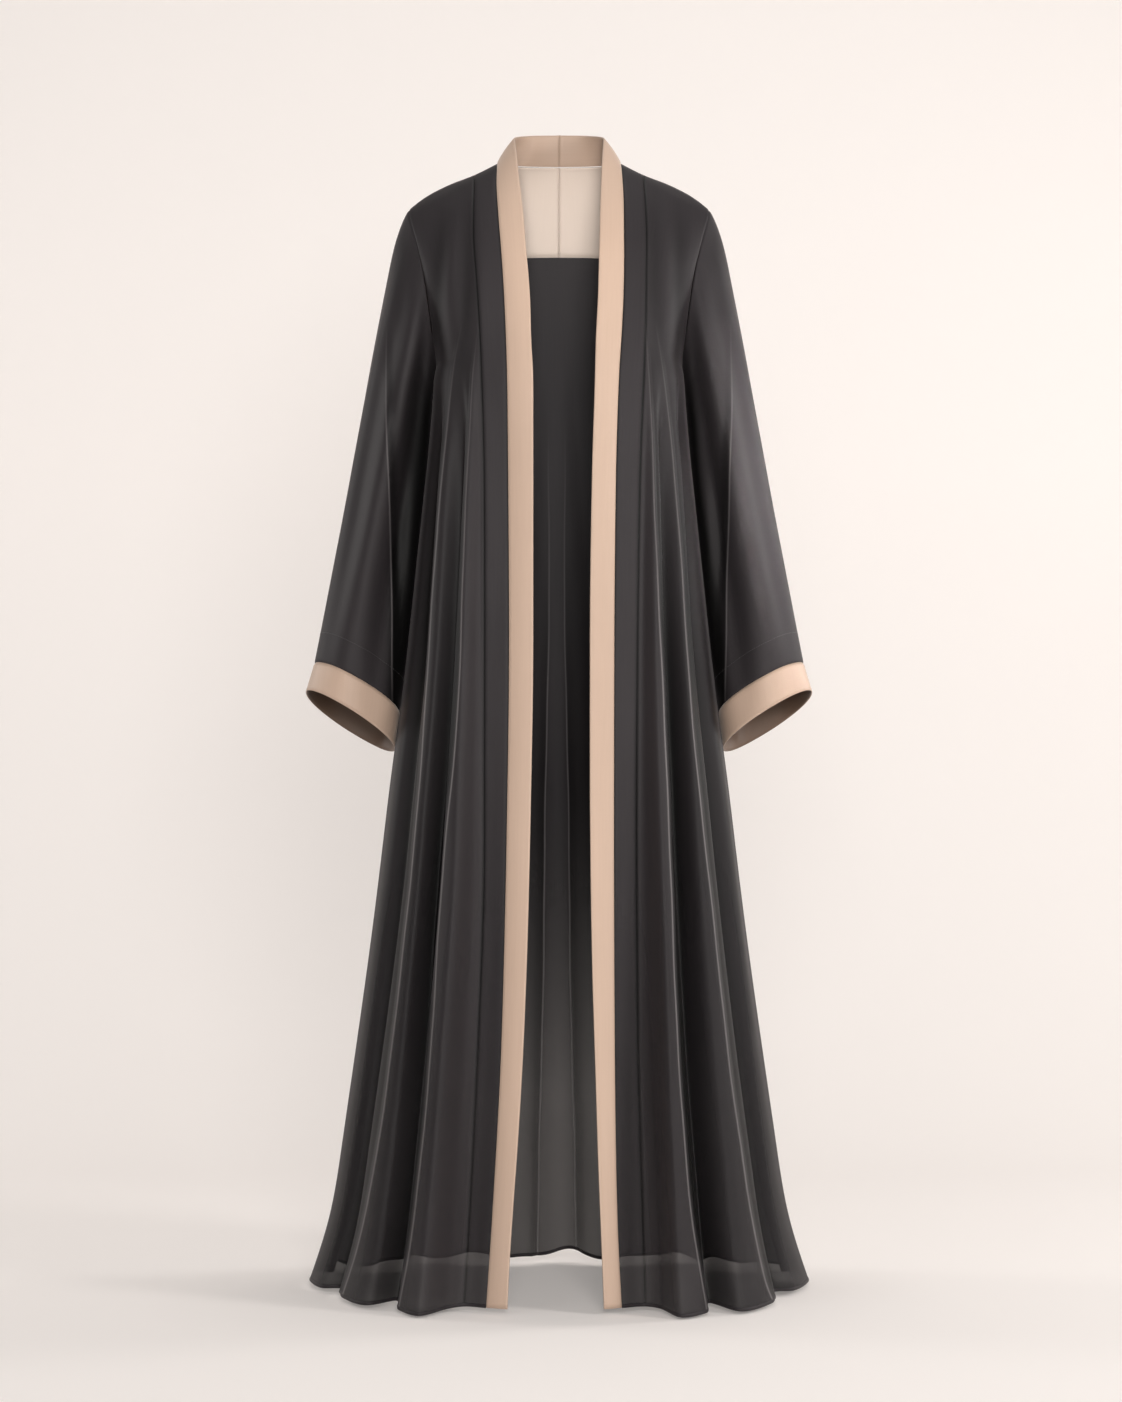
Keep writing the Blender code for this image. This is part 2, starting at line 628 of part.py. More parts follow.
def build():
    for old in list(bpy.data.objects):
        bpy.data.objects.remove(old)
    materials = make_materials()
    charcoal, tan, beige = (materials[m] for m in MATERIALS)
    parts = []
    fronts, back = build_rows()
    upper = len(UPPER_ROWS)
    back_n = outward(back, grid_normals(back), (0, 0))
    front_n = {}
    columns = back.shape[1]
    middle = columns // 2
    corner = 3 * BETWEEN_BACK
    for side in SIDES:
        grid = fronts[side]
        normals = outward(grid, grid_normals(grid))
        edge = 0 if side == "left" else columns - 1
        shared = unit(normals[upper - 1 :, -1] + back_n[upper - 1 :, edge])
        normals[upper - 1 :, -1] = shared
        back_n[upper - 1 :, edge] = shared
        normals[0] = unit(normals[0] * (1, 0.1, 1))
        front_n[side] = normals
    seam_columns = list(range(corner + 1)) + list(range(columns - 1 - corner, columns))
    back_n[0, seam_columns] = unit(back_n[0, seam_columns] * (1, 0.1, 1))
    back_n[:, middle] = unit(back_n[:, middle] * (0, 1, 1))

    sleeves = {}
    for side in SIDES:
        edge = 0 if side == "left" else columns - 1
        forward, rear = fronts[side][:upper, -1], back[:upper, edge]
        loop = list(forward) + list(rear[1:-1][::-1])
        fine = []
        for k, point in enumerate(loop):
            fine.append(point)
            fine.append((point + loop[(k + 1) % len(loop)]) / 2)
        grid = sleeve_grid(np.array(fine), side)
        grid[0] = fine
        normals = grid_normals(grid, ring=True)
        axis = grid.mean(axis=1, keepdims=True)
        if ((grid - axis) * normals).sum() < 0:
            normals = -normals
        apart = np.zeros_like(grid[0])
        around = list(front_n[side][:upper, -1]) + list(back_n[1 : upper - 1, edge][::-1])
        for k in range(len(loop)):
            own, other = normals[0, 2 * k], around[k]
            share = float(np.clip((own @ other - 0.2) / 0.5, 0, 1))
            mean = unit(own + other)
            normals[0, 2 * k] = unit(own * (1 - share) + mean * share)
            apart[2 * k] = (1 - share) * SEAM_GAP * other
            changed = unit(other * (1 - share) + mean * share)
            if k < upper - 1:
                front_n[side][k, -1] = changed
            if k == 0 or k > upper - 1:
                back_n[(len(loop) - k) % len(loop), edge] = changed
        normals[0, 1::2] = unit(normals[0, 0::2] + np.roll(normals[0, 0::2], -1, 0))
        apart[1::2] = (apart[0::2] + np.roll(apart[0::2], -1, 0)) / 2
        grid[0] += apart
        sleeves[side] = (grid, normals)

    for side in SIDES:
        grid, normals = fronts[side], front_n[side]
        cut = STRIP_ACROSS
        strip = trimmed(grid[:, : cut + 1], top=True, first=True, last=True)
        inner = strip - GEORGETTE * normals[:, : cut + 1]
        parts.append(cloth_wall("strip_" + side, strip, inner, charcoal))
        panel = trimmed(grid[:, cut:], top=True, first=True)
        panel[:, -1] += SEAM_GAP / 2 * unit(grid[:, -2] - grid[:, -1])
        inner = panel - GEORGETTE * normals[:, cut:]
        parts.append(cloth_wall("front_" + side, panel, inner, charcoal))

    panel = trimmed(back, top=True, first=True, last=True)
    parts.append(cloth_wall("back", panel, panel - GEORGETTE * back_n, charcoal))

    for side in SIDES:
        columns_used = list(range(corner - FACING_OUT, middle + 1))
        if side == "right":
            columns_used = [columns - 1 - c for c in columns_used]
        skin = back[: FACING_ROWS + 1][:, columns_used]
        skin_n = back_n[: FACING_ROWS + 1][:, columns_used]
        diagonal = diagonals(skin)
        outer = trimmed(skin, top=True, last=True) - (GEORGETTE + SEAM_GAP) * skin_n
        inner = outer - FACING_CLOTH * skin_n
        parts.append(cloth_wall("neck_facing_" + side, outer, inner, beige, diagonal=diagonal))

    for side in SIDES:
        seam = [back[0, c] if side == "left" else back[0, columns - 1 - c] for c in range(middle, corner, -1)]
        tops = []
        for k in range(middle - corner):
            share = k / (middle - corner)
            rows = [(i / (len(NECK_TOP) - 1),) + row for i, row in enumerate(NECK_TOP)]
            tops.append(mirror(smooth_table(rows, share), side))
        for row in range(row_count()):
            seam.append(fronts[side][row, 0])
            tops.append(mirror(free_edge(row, side), side))
        seam, tops = np.array(seam), np.array(tops)
        across = np.linspace(0, 1, BAND_ACROSS + 1)[None, :, None]
        grid = seam[:, None] * (1 - across) + tops[:, None] * across
        grid_n = outward(grid, grid_normals(grid))
        start = middle - corner
        grid_n[0] = unit(grid_n[0] * (0, 1, 1))
        grid_n[start:, 0] = front_n[side][:, 0]
        grid[:, 1:-1] += (1.2 * np.sin(np.pi * across[:, 1:-1])) * grid_n[:, 1:-1]
        band = trimmed(grid, top=True, first=True)
        parts.append(cloth_wall("band_" + side, band, band - CREPE * grid_n, tan))

    for side in SIDES:
        grid, normals = sleeves[side]
        cut = SLEEVE_RINGS
        tube = trimmed(grid[: cut + 1], top=True, bottom=True)
        parts.append(cloth_wall("sleeve_" + side, tube, tube - GEORGETTE * normals[: cut + 1], charcoal, ring=True))
        cuff = trimmed(grid[cut:], top=True)
        parts.append(cloth_wall("cuff_" + side, cuff, cuff - CREPE * normals[cut:], tan, ring=True))

    root = bpy.data.objects.new("abaya_cloak", None)
    bpy.context.scene.collection.objects.link(root)
    for part in parts:
        part.parent = root


build()
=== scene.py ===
# Open-front cloak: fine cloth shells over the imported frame, one for each sewn piece.
# Lengths in the dictionaries are in mm and angles in degrees, unless a note says otherwise.
import bpy
import numpy as np
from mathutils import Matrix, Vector


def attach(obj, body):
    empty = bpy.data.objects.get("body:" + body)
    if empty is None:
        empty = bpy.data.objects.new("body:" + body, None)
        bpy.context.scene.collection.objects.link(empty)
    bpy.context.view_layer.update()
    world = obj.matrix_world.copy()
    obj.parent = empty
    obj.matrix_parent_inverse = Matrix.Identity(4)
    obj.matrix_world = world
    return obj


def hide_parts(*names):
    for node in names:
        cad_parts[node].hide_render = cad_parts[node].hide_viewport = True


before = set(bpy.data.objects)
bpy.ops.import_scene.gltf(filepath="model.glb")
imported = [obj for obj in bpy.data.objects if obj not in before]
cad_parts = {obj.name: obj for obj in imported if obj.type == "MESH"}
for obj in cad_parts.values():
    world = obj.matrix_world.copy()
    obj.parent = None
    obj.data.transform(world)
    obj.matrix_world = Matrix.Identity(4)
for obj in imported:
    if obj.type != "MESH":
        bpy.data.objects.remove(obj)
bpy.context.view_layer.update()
sides = {"left": 1.0, "right": -1.0}
print("frame: loaded")


# Small helpers for lines and grids.
def rise(t):
    t = np.clip(t, 0, 1)
    return t * t * (3 - 2 * t)


def unit(v):
    return v / np.maximum(np.linalg.norm(v, axis=-1, keepdims=True), 1e-9)


def smoothTable(rows, at):
    # Reads rows of (key, value, ...) at one key or many, on a curve that never overshoots.
    rows = np.array(rows, float)
    if rows[0, 0] > rows[-1, 0]:
        rows = rows[::-1]
    keys, values = rows[:, 0], rows[:, 1:]
    single = np.ndim(at) == 0
    at = np.clip(np.atleast_1d(np.asarray(at, float)), keys[0], keys[-1])
    step = np.diff(keys)
    climb = np.diff(values, axis=0) / step[:, None]
    slope = np.zeros_like(values)
    weightA = (2 * step[1:] + step[:-1])[:, None]
    weightB = (step[1:] + 2 * step[:-1])[:, None]
    with np.errstate(divide="ignore", invalid="ignore"):
        mean = (weightA + weightB) / (weightA / climb[:-1] + weightB / climb[1:])
    slope[1:-1] = np.where(climb[:-1] * climb[1:] > 0, mean, 0)
    slope[0], slope[-1] = climb[0], climb[-1]
    i = np.clip(np.searchsorted(keys, at, side="right") - 1, 0, len(keys) - 2)
    h = step[i][:, None]
    t = (at - keys[i])[:, None] / h
    out = (
        (2 * t**3 - 3 * t**2 + 1) * values[i]
        + (t**3 - 2 * t**2 + t) * h * slope[i]
        + (3 * t**2 - 2 * t**3) * values[i + 1]
        + (t**3 - t**2) * h * slope[i + 1]
    )
    return out[0] if single else out


def keyed(rows):
    # The same rows with even fractions from 0 to 1 as their keys.
    return [(k / (len(rows) - 1),) + row for k, row in enumerate(rows)]


def lineThrough(points, stops):
    # A smooth line through the points; the first and last only guide its ends.
    points = np.array(points, float)
    out = []
    for i, stop in enumerate(stops):
        p0, p1, p2, p3 = points[i : i + 4]
        k = [0.0]
        for a, b in ((p0, p1), (p1, p2), (p2, p3)):
            k.append(k[-1] + max(np.linalg.norm(b - a), 1e-3) ** 0.5)
        t = (k[1] + (k[2] - k[1]) * np.asarray(stop))[:, None]
        a1 = ((k[1] - t) * p0 + (t - k[0]) * p1) / (k[1] - k[0])
        a2 = ((k[2] - t) * p1 + (t - k[1]) * p2) / (k[2] - k[1])
        a3 = ((k[3] - t) * p2 + (t - k[2]) * p3) / (k[3] - k[2])
        b1 = ((k[2] - t) * a1 + (t - k[0]) * a2) / (k[2] - k[0])
        b2 = ((k[3] - t) * a2 + (t - k[1]) * a3) / (k[3] - k[1])
        out.append(((k[2] - t) * b1 + (t - k[1]) * b2) / (k[2] - k[1]))
    out.append(points[-2][None])
    return np.concatenate(out)


def splineDown(rows, at, where):
    # Natural cubic spline down a stack of rows that stand at the keys "at".
    rows = np.asarray(rows, float)
    flat = rows.reshape(len(rows), -1)
    h = np.diff(at)
    lhs = np.eye(len(at))
    rhs = np.zeros_like(flat)
    for i in range(1, len(at) - 1):
        lhs[i, i - 1 : i + 2] = h[i - 1], 2 * (h[i - 1] + h[i]), h[i]
        rhs[i] = 6 * ((flat[i + 1] - flat[i]) / h[i] - (flat[i] - flat[i - 1]) / h[i - 1])
    bend = np.linalg.solve(lhs, rhs)
    i = np.clip(np.searchsorted(at, where, side="right") - 1, 0, len(at) - 2)
    step = h[i][:, None]
    a = (at[i + 1] - where)[:, None] / step
    b = 1 - a
    out = a * flat[i] + b * flat[i + 1]
    out += ((a**3 - a) * bend[i] + (b**3 - b) * bend[i + 1]) * step**2 / 6
    return out.reshape((len(where),) + rows.shape[1:])


def spread(count, first=0.0, last=0.0, most=0.28):
    # Fractions from 0 up to 1, closer together at an end where a seam turns in. They never turn back.
    t = np.arange(count) / count
    t = t - first * np.sin(np.pi * t) * (1 - t) * most
    return t + last * np.sin(np.pi * t) * t * most


def gridNormals(grid, ring=False):
    down = np.gradient(grid, axis=0)
    if ring:
        across = np.roll(grid, -1, 1) - np.roll(grid, 1, 1)
    else:
        across = np.gradient(grid, axis=1)
    return unit(np.cross(across, down))


def outward(grid, normals):
    away = grid[..., :2] - (0, 0 if abs(grid[..., 1].mean()) > 1 else -1)
    return normals if (away * normals[..., :2]).sum() > 0 else -normals


def alongRows(grid):
    # Distance across the cloth from the first column, row by row.
    step = np.linalg.norm(np.diff(grid, axis=1), axis=2)
    return np.concatenate([np.zeros((len(grid), 1)), np.cumsum(step, axis=1)], axis=1)


def alongColumns(grid):
    step = np.linalg.norm(np.diff(grid, axis=0), axis=2)
    return np.concatenate([np.zeros((1, grid.shape[1])), np.cumsum(step, axis=0)], axis=0)


# Outline of the hanging body, shared by fronts and back.
bodyShape = {
    "shoulder": [(79, 0), (107, -14), (138, -26), (164, -38.5), (180, -48), (194, -57)],  # x, height
    "upper": [  # band seam height, strip seam height, then the front armhole's x, y, z
        (0, -14, 194.0, 0, -57),
        (-5, -18, 193.0, -9, -59),
        (-14, -26, 191.0, -18, -66),
        (-28, -38, 187.5, -27, -78),
        (-48, -56, 183.0, -36, -94),
        (-75, -80, 177.5, -45, -115),
        (-108, -110, 171.5, -52, -140),
        (-145, -146, 166.0, -56, -170),
        (-182, -182, 162.0, -56, -200),
        (-212, -212, 159.0, -48, -226),
        (-236, -236, 157.5, -33, -246),
        (-254, -254, 157.0, -16, -260),
        (-265, -265, 157.0, 0, -265),
    ],
    "lower": [-310, -370, -450, -550, -660, -780, -900, -1020, -1140, -1250, -1340, -1420],
    "hanging": [  # height, half width, side y, back y, roundness of front and back
        (-265, 157, 0, 118, 0.68, 0.82),
        (-370, 166, 5, 121, 0.65, 0.78),
        (-450, 174.5, 8, 125, 0.63, 0.75),
        (-550, 185, 11, 131, 0.61, 0.71),
        (-660, 197, 14, 138, 0.60, 0.67),
        (-780, 213, 18, 148, 0.60, 0.64),
        (-900, 227.5, 22, 160, 0.60, 0.62),
        (-1020, 243, 26, 172, 0.60, 0.61),
        (-1140, 260, 30, 185, 0.60, 0.60),
        (-1250, 276, 34, 197, 0.60, 0.60),
        (-1340, 292, 37, 207, 0.60, 0.60),
        (-1420, 317, 40, 215, 0.60, 0.60),
    ],
    "foldHeights": [-60, -250, -450, -870, -1420],
    "depthHeights": [-200, -245, -450, -870, -1420],
    "hemDip": 0.06,
    "rowSpacing": 7.0,
    "seamTurn": 0.9,  # how far a sewn edge turns in
    "seamReach": 1.6,
}
neckX, armX = bodyShape["shoulder"][0][0], bodyShape["shoulder"][-1][0]
upperCount = len(bodyShape["upper"])
rowTotal = upperCount + len(bodyShape["lower"])


def rowLevels(row):
    if row < upperCount:
        return bodyShape["upper"][row][:2]
    return (bodyShape["lower"][row - upperCount],) * 2


def shoulderHeight(x):
    return smoothTable(bodyShape["shoulder"], x)[..., 0]


class Section:
    # A plain curve that fold places are read along, with the outward way beside it.
    def __init__(self, p0, p1, p2, p3, away):
        t = np.linspace(0, 1, 241)[:, None]
        p0, p1, p2, p3 = (np.array(p, float) for p in (p0, p1, p2, p3))
        self.points = (1 - t) ** 3 * p0 + 3 * (1 - t) ** 2 * t * p1 + 3 * (1 - t) * t**2 * p2 + t**3 * p3
        length = np.linalg.norm(np.diff(self.points, axis=0), axis=1)
        self.shares = np.concatenate([[0], np.cumsum(length)]) / length.sum()
        self.away = away

    def at(self, share):
        return np.array([np.interp(share, self.shares, self.points[:, i]) for i in range(3)])

    def out(self, share):
        along = unit(self.at(min(share + 0.01, 1)) - self.at(max(share - 0.01, 0)))
        side = unit(np.cross(along, (0, 0, 1.0)) * (1, 1, 0))
        return side if side @ self.away > 0 else -side


def foldPoints(section, folds, level):
    points = []
    for fold in folds:
        share = smoothTable(list(zip(bodyShape["foldHeights"], fold[1:6])), level)[0]
        depth = smoothTable(list(zip(bodyShape["depthHeights"], (0, 0) + tuple(fold[6:]))), level)[0]
        dip = bodyShape["hemDip"] * max(depth, 0) * (level / bodyShape["lower"][-1]) ** 12
        points.append(section.at(share) + depth * section.out(share) - (0, 0, dip))
    return points


# Fronts, and the strips beside the bands.
frontShape = {
    "seamX": [  # height, band seam x for wearer's left and right, strip seam x likewise
        (0, 79, 79, 106, 107),
        (-27, 80.3, 79, 107.5, 107.4),
        (-60, 81.2, 77, 109, 107.4),
        (-100, 81.2, 73.8, 109.8, 107),
        (-150, 81, 70, 109, 103.5),
        (-210, 78.8, 66.8, 108, 99.5),
        (-285, 74.2, 64.3, 104.8, 96),
        (-409, 70.5, 63, 100, 92.8),
        (-607, 68.5, 61.8, 97, 92.2),
        (-877, 67.8, 65.1, 95.5, 92.3),
        (-1109, 68.6, 71, 97, 99.5),
        (-1290, 71, 80.5, 101.8, 108),
        (-1420, 77, 89, 105.5, 115.5),
    ],
    "bandSeamY": [
        (0, 0), (-5, -14), (-14, -27), (-28, -41), (-48, -57), (-75, -73), (-108, -88), (-145, -99),
        (-210, -113), (-285, -125), (-409, -129), (-607, -137), (-877, -157), (-1109, -177),
        (-1290, -192), (-1420, -200),
    ],
    "stripSeamY": [
        (-14, 0), (-18, -12), (-26, -25), (-38, -38), (-56, -54), (-80, -70), (-110, -84), (-146, -95),
        (-212, -109), (-310, -121), (-409, -126), (-607, -132), (-877, -150), (-1048, -163),
        (-1230, -177), (-1420, -188),
    ],
    # place along the section at the five heights, then depth at waist, knee and hem
    "foldsLeft": [
        ("inner dip", 0.08, 0.03, 0.035, 0.035, 0.042, 0, 3, 12),
        ("first crest", 0.16, 0.07, 0.095, 0.10, 0.088, 8, 30, 66),
        ("first edge", 0.24, 0.11, 0.145, 0.165, 0.180, 6, 20, 44),
        ("first valley", 0.33, 0.16, 0.19, 0.215, 0.225, -9, -6, 3),
        ("second crest", 0.45, 0.29, 0.30, 0.31, 0.285, 5, 21, 50),
        ("second edge", 0.57, 0.36, 0.375, 0.435, 0.480, 5, 9, 17),
        ("second valley", 0.68, 0.45, 0.46, 0.52, 0.585, -8, -13, -14),
        ("side crest", 0.80, 0.62, 0.64, 0.68, 0.70, 0, 1, -4),
        ("side edge", 0.91, 0.84, 0.86, 0.87, 0.88, 0, 0, 0),
    ],
    "foldsRight": [
        ("inner dip", 0.08, 0.03, 0.035, 0.04, 0.048, 0, 3, 14),
        ("first crest", 0.16, 0.07, 0.095, 0.112, 0.118, 8, 28, 59),
        ("first edge", 0.24, 0.11, 0.145, 0.188, 0.215, 6, 17, 28),
        ("first valley", 0.33, 0.16, 0.19, 0.238, 0.262, -9, -8, -9),
        ("second crest", 0.45, 0.29, 0.30, 0.325, 0.345, 4, 12, 22),
        ("second edge", 0.57, 0.36, 0.385, 0.45, 0.58, 4, 3, -8),
        ("second valley", 0.68, 0.45, 0.47, 0.53, 0.665, -8, -11, -25),
        ("side crest", 0.80, 0.62, 0.64, 0.68, 0.75, 0, -1, -8),
        ("side edge", 0.91, 0.84, 0.86, 0.88, 0.92, 0, 0, 0),
    ],
    "stripColumns": 10,
    "foldColumns": 16,
    "cloth": 0.6,
}


def frontLines(row, side):
    bandZ, stripZ = rowLevels(row)
    which = 0 if side == "left" else 1
    bandX = smoothTable(frontShape["seamX"], bandZ)[which]
    stripX = smoothTable(frontShape["seamX"], stripZ)[2 + which]
    if row == 0:
        stripZ = shoulderHeight(stripX)
    band = (bandX, smoothTable(frontShape["bandSeamY"], bandZ)[0], bandZ)
    strip = (stripX, smoothTable(frontShape["stripSeamY"], stripZ)[0], stripZ)
    return np.array(band, float), np.array(strip, float)


def frontSection(row, side):
    strip = frontLines(row, side)[1]
    if row >= upperCount - 1:
        level = rowLevels(row)[1]
        half, sideY, _, full, _ = smoothTable(bodyShape["hanging"], level)
        end = np.array((half, sideY, level))
        first, last = full * (half - strip[0]), full * (sideY - strip[1])
        return Section(strip, strip + first * np.array((1, 0.1, 0)), end - (0, last, 0), end, (1, -1, 0))
    end = np.array(bodyShape["upper"][row][2:], float)
    chord = end - strip
    turn = (row / (upperCount - 1)) ** 1.2
    startWay = unit((1 - turn) * unit(chord) + turn * np.array((1, 0.1, 0)))
    endWay = unit((1 - turn) * unit(chord) + turn * np.array((0.05, 1, 0)))
    reach = 0.36 * np.linalg.norm(chord) * (1 - turn)
    full = bodyShape["hanging"][0][4]
    first = reach + turn * full * (end[0] - strip[0])
    last = reach + turn * full * (end[1] - strip[1])
    return Section(strip, strip + first * startWay, end - last * endWay, end, (1, -1, 0))


# Back, one panel from armhole to armhole.
backShape = {
    "hemWaves": 8.5,  # from one side seam to the other
    "hemLift": 11,  # how far the waves lift the hem at most
    "wavyFrom": -1150,  # height where they start, and over how much they grow
    "wavyOver": 270,
    "armhole": [  # x, y, z beside each upper row, then the centre back's y, z
        (194.0, 0, -57, 60, 3),
        (193.5, 9, -58.5, 64, -1),
        (192.0, 19, -64, 70, -10),
        (189.5, 29, -75, 78, -24),
        (186.0, 38, -92, 87, -46),
        (181.5, 45, -114, 96, -75),
        (176.5, 50, -140, 103, -108),
        (171.0, 51, -170, 109, -145),
        (166.0, 48, -200, 113, -182),
        (162.0, 40, -226, 115.5, -212),
        (159.0, 28, -246, 117, -236),
        (157.5, 14, -260, 117.7, -254),
        (157.0, 0, -265, 118, -265),
    ],
    "foldsLeft": [
        ("side valley", 0.11, 0.15, 0.15, 0.14, 0.13, -7, -12, -20),
        ("side crest", 0.22, 0.25, 0.26, 0.27, 0.26, 2, 14, 32),
        ("blade valley", 0.33, 0.38, 0.39, 0.41, 0.42, -2, -8, -18),
        ("blade crest", 0.55, 0.57, 0.58, 0.59, 0.60, 2, 15, 36),
        ("inner valley", 0.77, 0.78, 0.78, 0.79, 0.80, -2, -8, -16),
    ],
    "foldsRight": [
        ("side valley", 0.11, 0.15, 0.15, 0.13, 0.12, -7, -12, -18),
        ("side crest", 0.22, 0.25, 0.25, 0.24, 0.25, 2, 13, 30),
        ("blade valley", 0.33, 0.38, 0.39, 0.40, 0.40, -2, -9, -20),
        ("blade crest", 0.55, 0.57, 0.57, 0.58, 0.59, 2, 17, 38),
        ("inner valley", 0.77, 0.78, 0.79, 0.80, 0.81, -2, -7, -14),
    ],
    "centreDepth": (0, 0, 2, 10, 22),
    "neckRound": (79, 60, 3),  # half width, depth and rise of the back neck seam
    "columns": 12,
    "cloth": 0.6,
}


def backSection(row):
    if row >= upperCount - 1:
        level = rowLevels(row)[1]
        half, sideY, backY, _, full = smoothTable(bodyShape["hanging"], level)
        start, end = np.array((half, sideY, level)), np.array((0, backY, level))
        reach = full * (backY - sideY)
        return Section(start, start + (0, reach, 0), end + (full * half, 0, 0), end, (0, 1, 0))
    x, y, z, centreY, centreZ = backShape["armhole"][row]
    start, end = np.array((x, y, z), float), np.array((0, centreY, centreZ), float)
    turn = (row / (upperCount - 1)) ** 1.2
    shoulderWay = unit(np.array((-1.0, 0.12, 0.45)))
    startWay = unit((1 - turn) * shoulderWay + turn * np.array((0.05, 1, 0)))
    reach = 0.38 * np.linalg.norm(end - start) * (1 - turn)
    full = bodyShape["hanging"][0][5]
    first, last = reach + turn * full * (centreY - y), reach + turn * full * x
    return Section(start, start + first * startWay, end + (last, 0, 0), end, (0, 1, 0))


shoulderEnd = backShape["foldsLeft"][2][1]


def shoulderNeck(share):
    # Along the shoulder to its high point, then round the back of the neck.
    share = np.atleast_1d(np.asarray(share, float))
    wide, deep, high = backShape["neckRound"]
    x = armX + (neckX - armX) * share / shoulderEnd
    angle = np.clip((share - shoulderEnd) / (1 - shoulderEnd), 0, 1) * np.pi / 2
    onShoulder = np.stack([x, 0 * x, shoulderHeight(x)], axis=1)
    onNeck = np.stack([wide * np.cos(angle), deep * np.sin(angle), high * np.sin(angle)], axis=1)
    return np.where((share <= shoulderEnd)[:, None], onShoulder, onNeck)


def mirrored(points, side):
    return np.asarray(points, float) * (sides[side], 1, 1)


# Bands, then both fronts and the back as fine grids.
bandShape = {
    "neckInside": 0.17,  # how much painted shade the inner cloth takes
    "neckEdge": [  # free edge beside the upper rows: x of left and right, y, z
        (57.3, 57.3, 2, 32),
        (56.0, 55.3, -18, 17),
        (54.8, 53.2, -33, 2),
        (53.6, 51.0, -48, -19),
        (52.4, 48.0, -64, -44),
        (51.4, 44.6, -80, -74),
    ],
    "freeEdge": [  # height, x of left and right, how far it stands forward of the band seam
        (-75, 51.4, 44.6, 7),
        (-120, 50.2, 41, 8),
        (-185, 48.4, 36, 9),
        (-235, 45.8, 34.6, 9),
        (-285, 44.6, 32.1, 9),
        (-409, 40.8, 32, 9),
        (-607, 38.3, 32, 9),
        (-779, 38.2, 34.3, 9),
        (-987, 40.5, 39.2, 10),
        (-1109, 44.1, 44, 10),
        (-1230, 47.7, 51.2, 11),
        (-1350, 52.4, 59.6, 12),
        (-1420, 55, 63, 12),
    ],
    "neckTop": [(0, 63, 44), (30, 58, 43), (48, 42, 40), (56, 22, 36), (57.3, 2, 32)],
    "columns": 16,
    "cloth": 1.5,
    "crown": 1.2,
    "stitchInset": 3.4,
}


def freeEdge(row, side):
    which = 0 if side == "left" else 1
    if row < len(bandShape["neckEdge"]):
        edge = bandShape["neckEdge"][row]
        return np.array((edge[which], edge[2], edge[3]), float)
    level = rowLevels(row)[0]
    values = smoothTable(bandShape["freeEdge"], level)
    return np.array((values[which], smoothTable(frontShape["bandSeamY"], level)[0] - values[2], level))


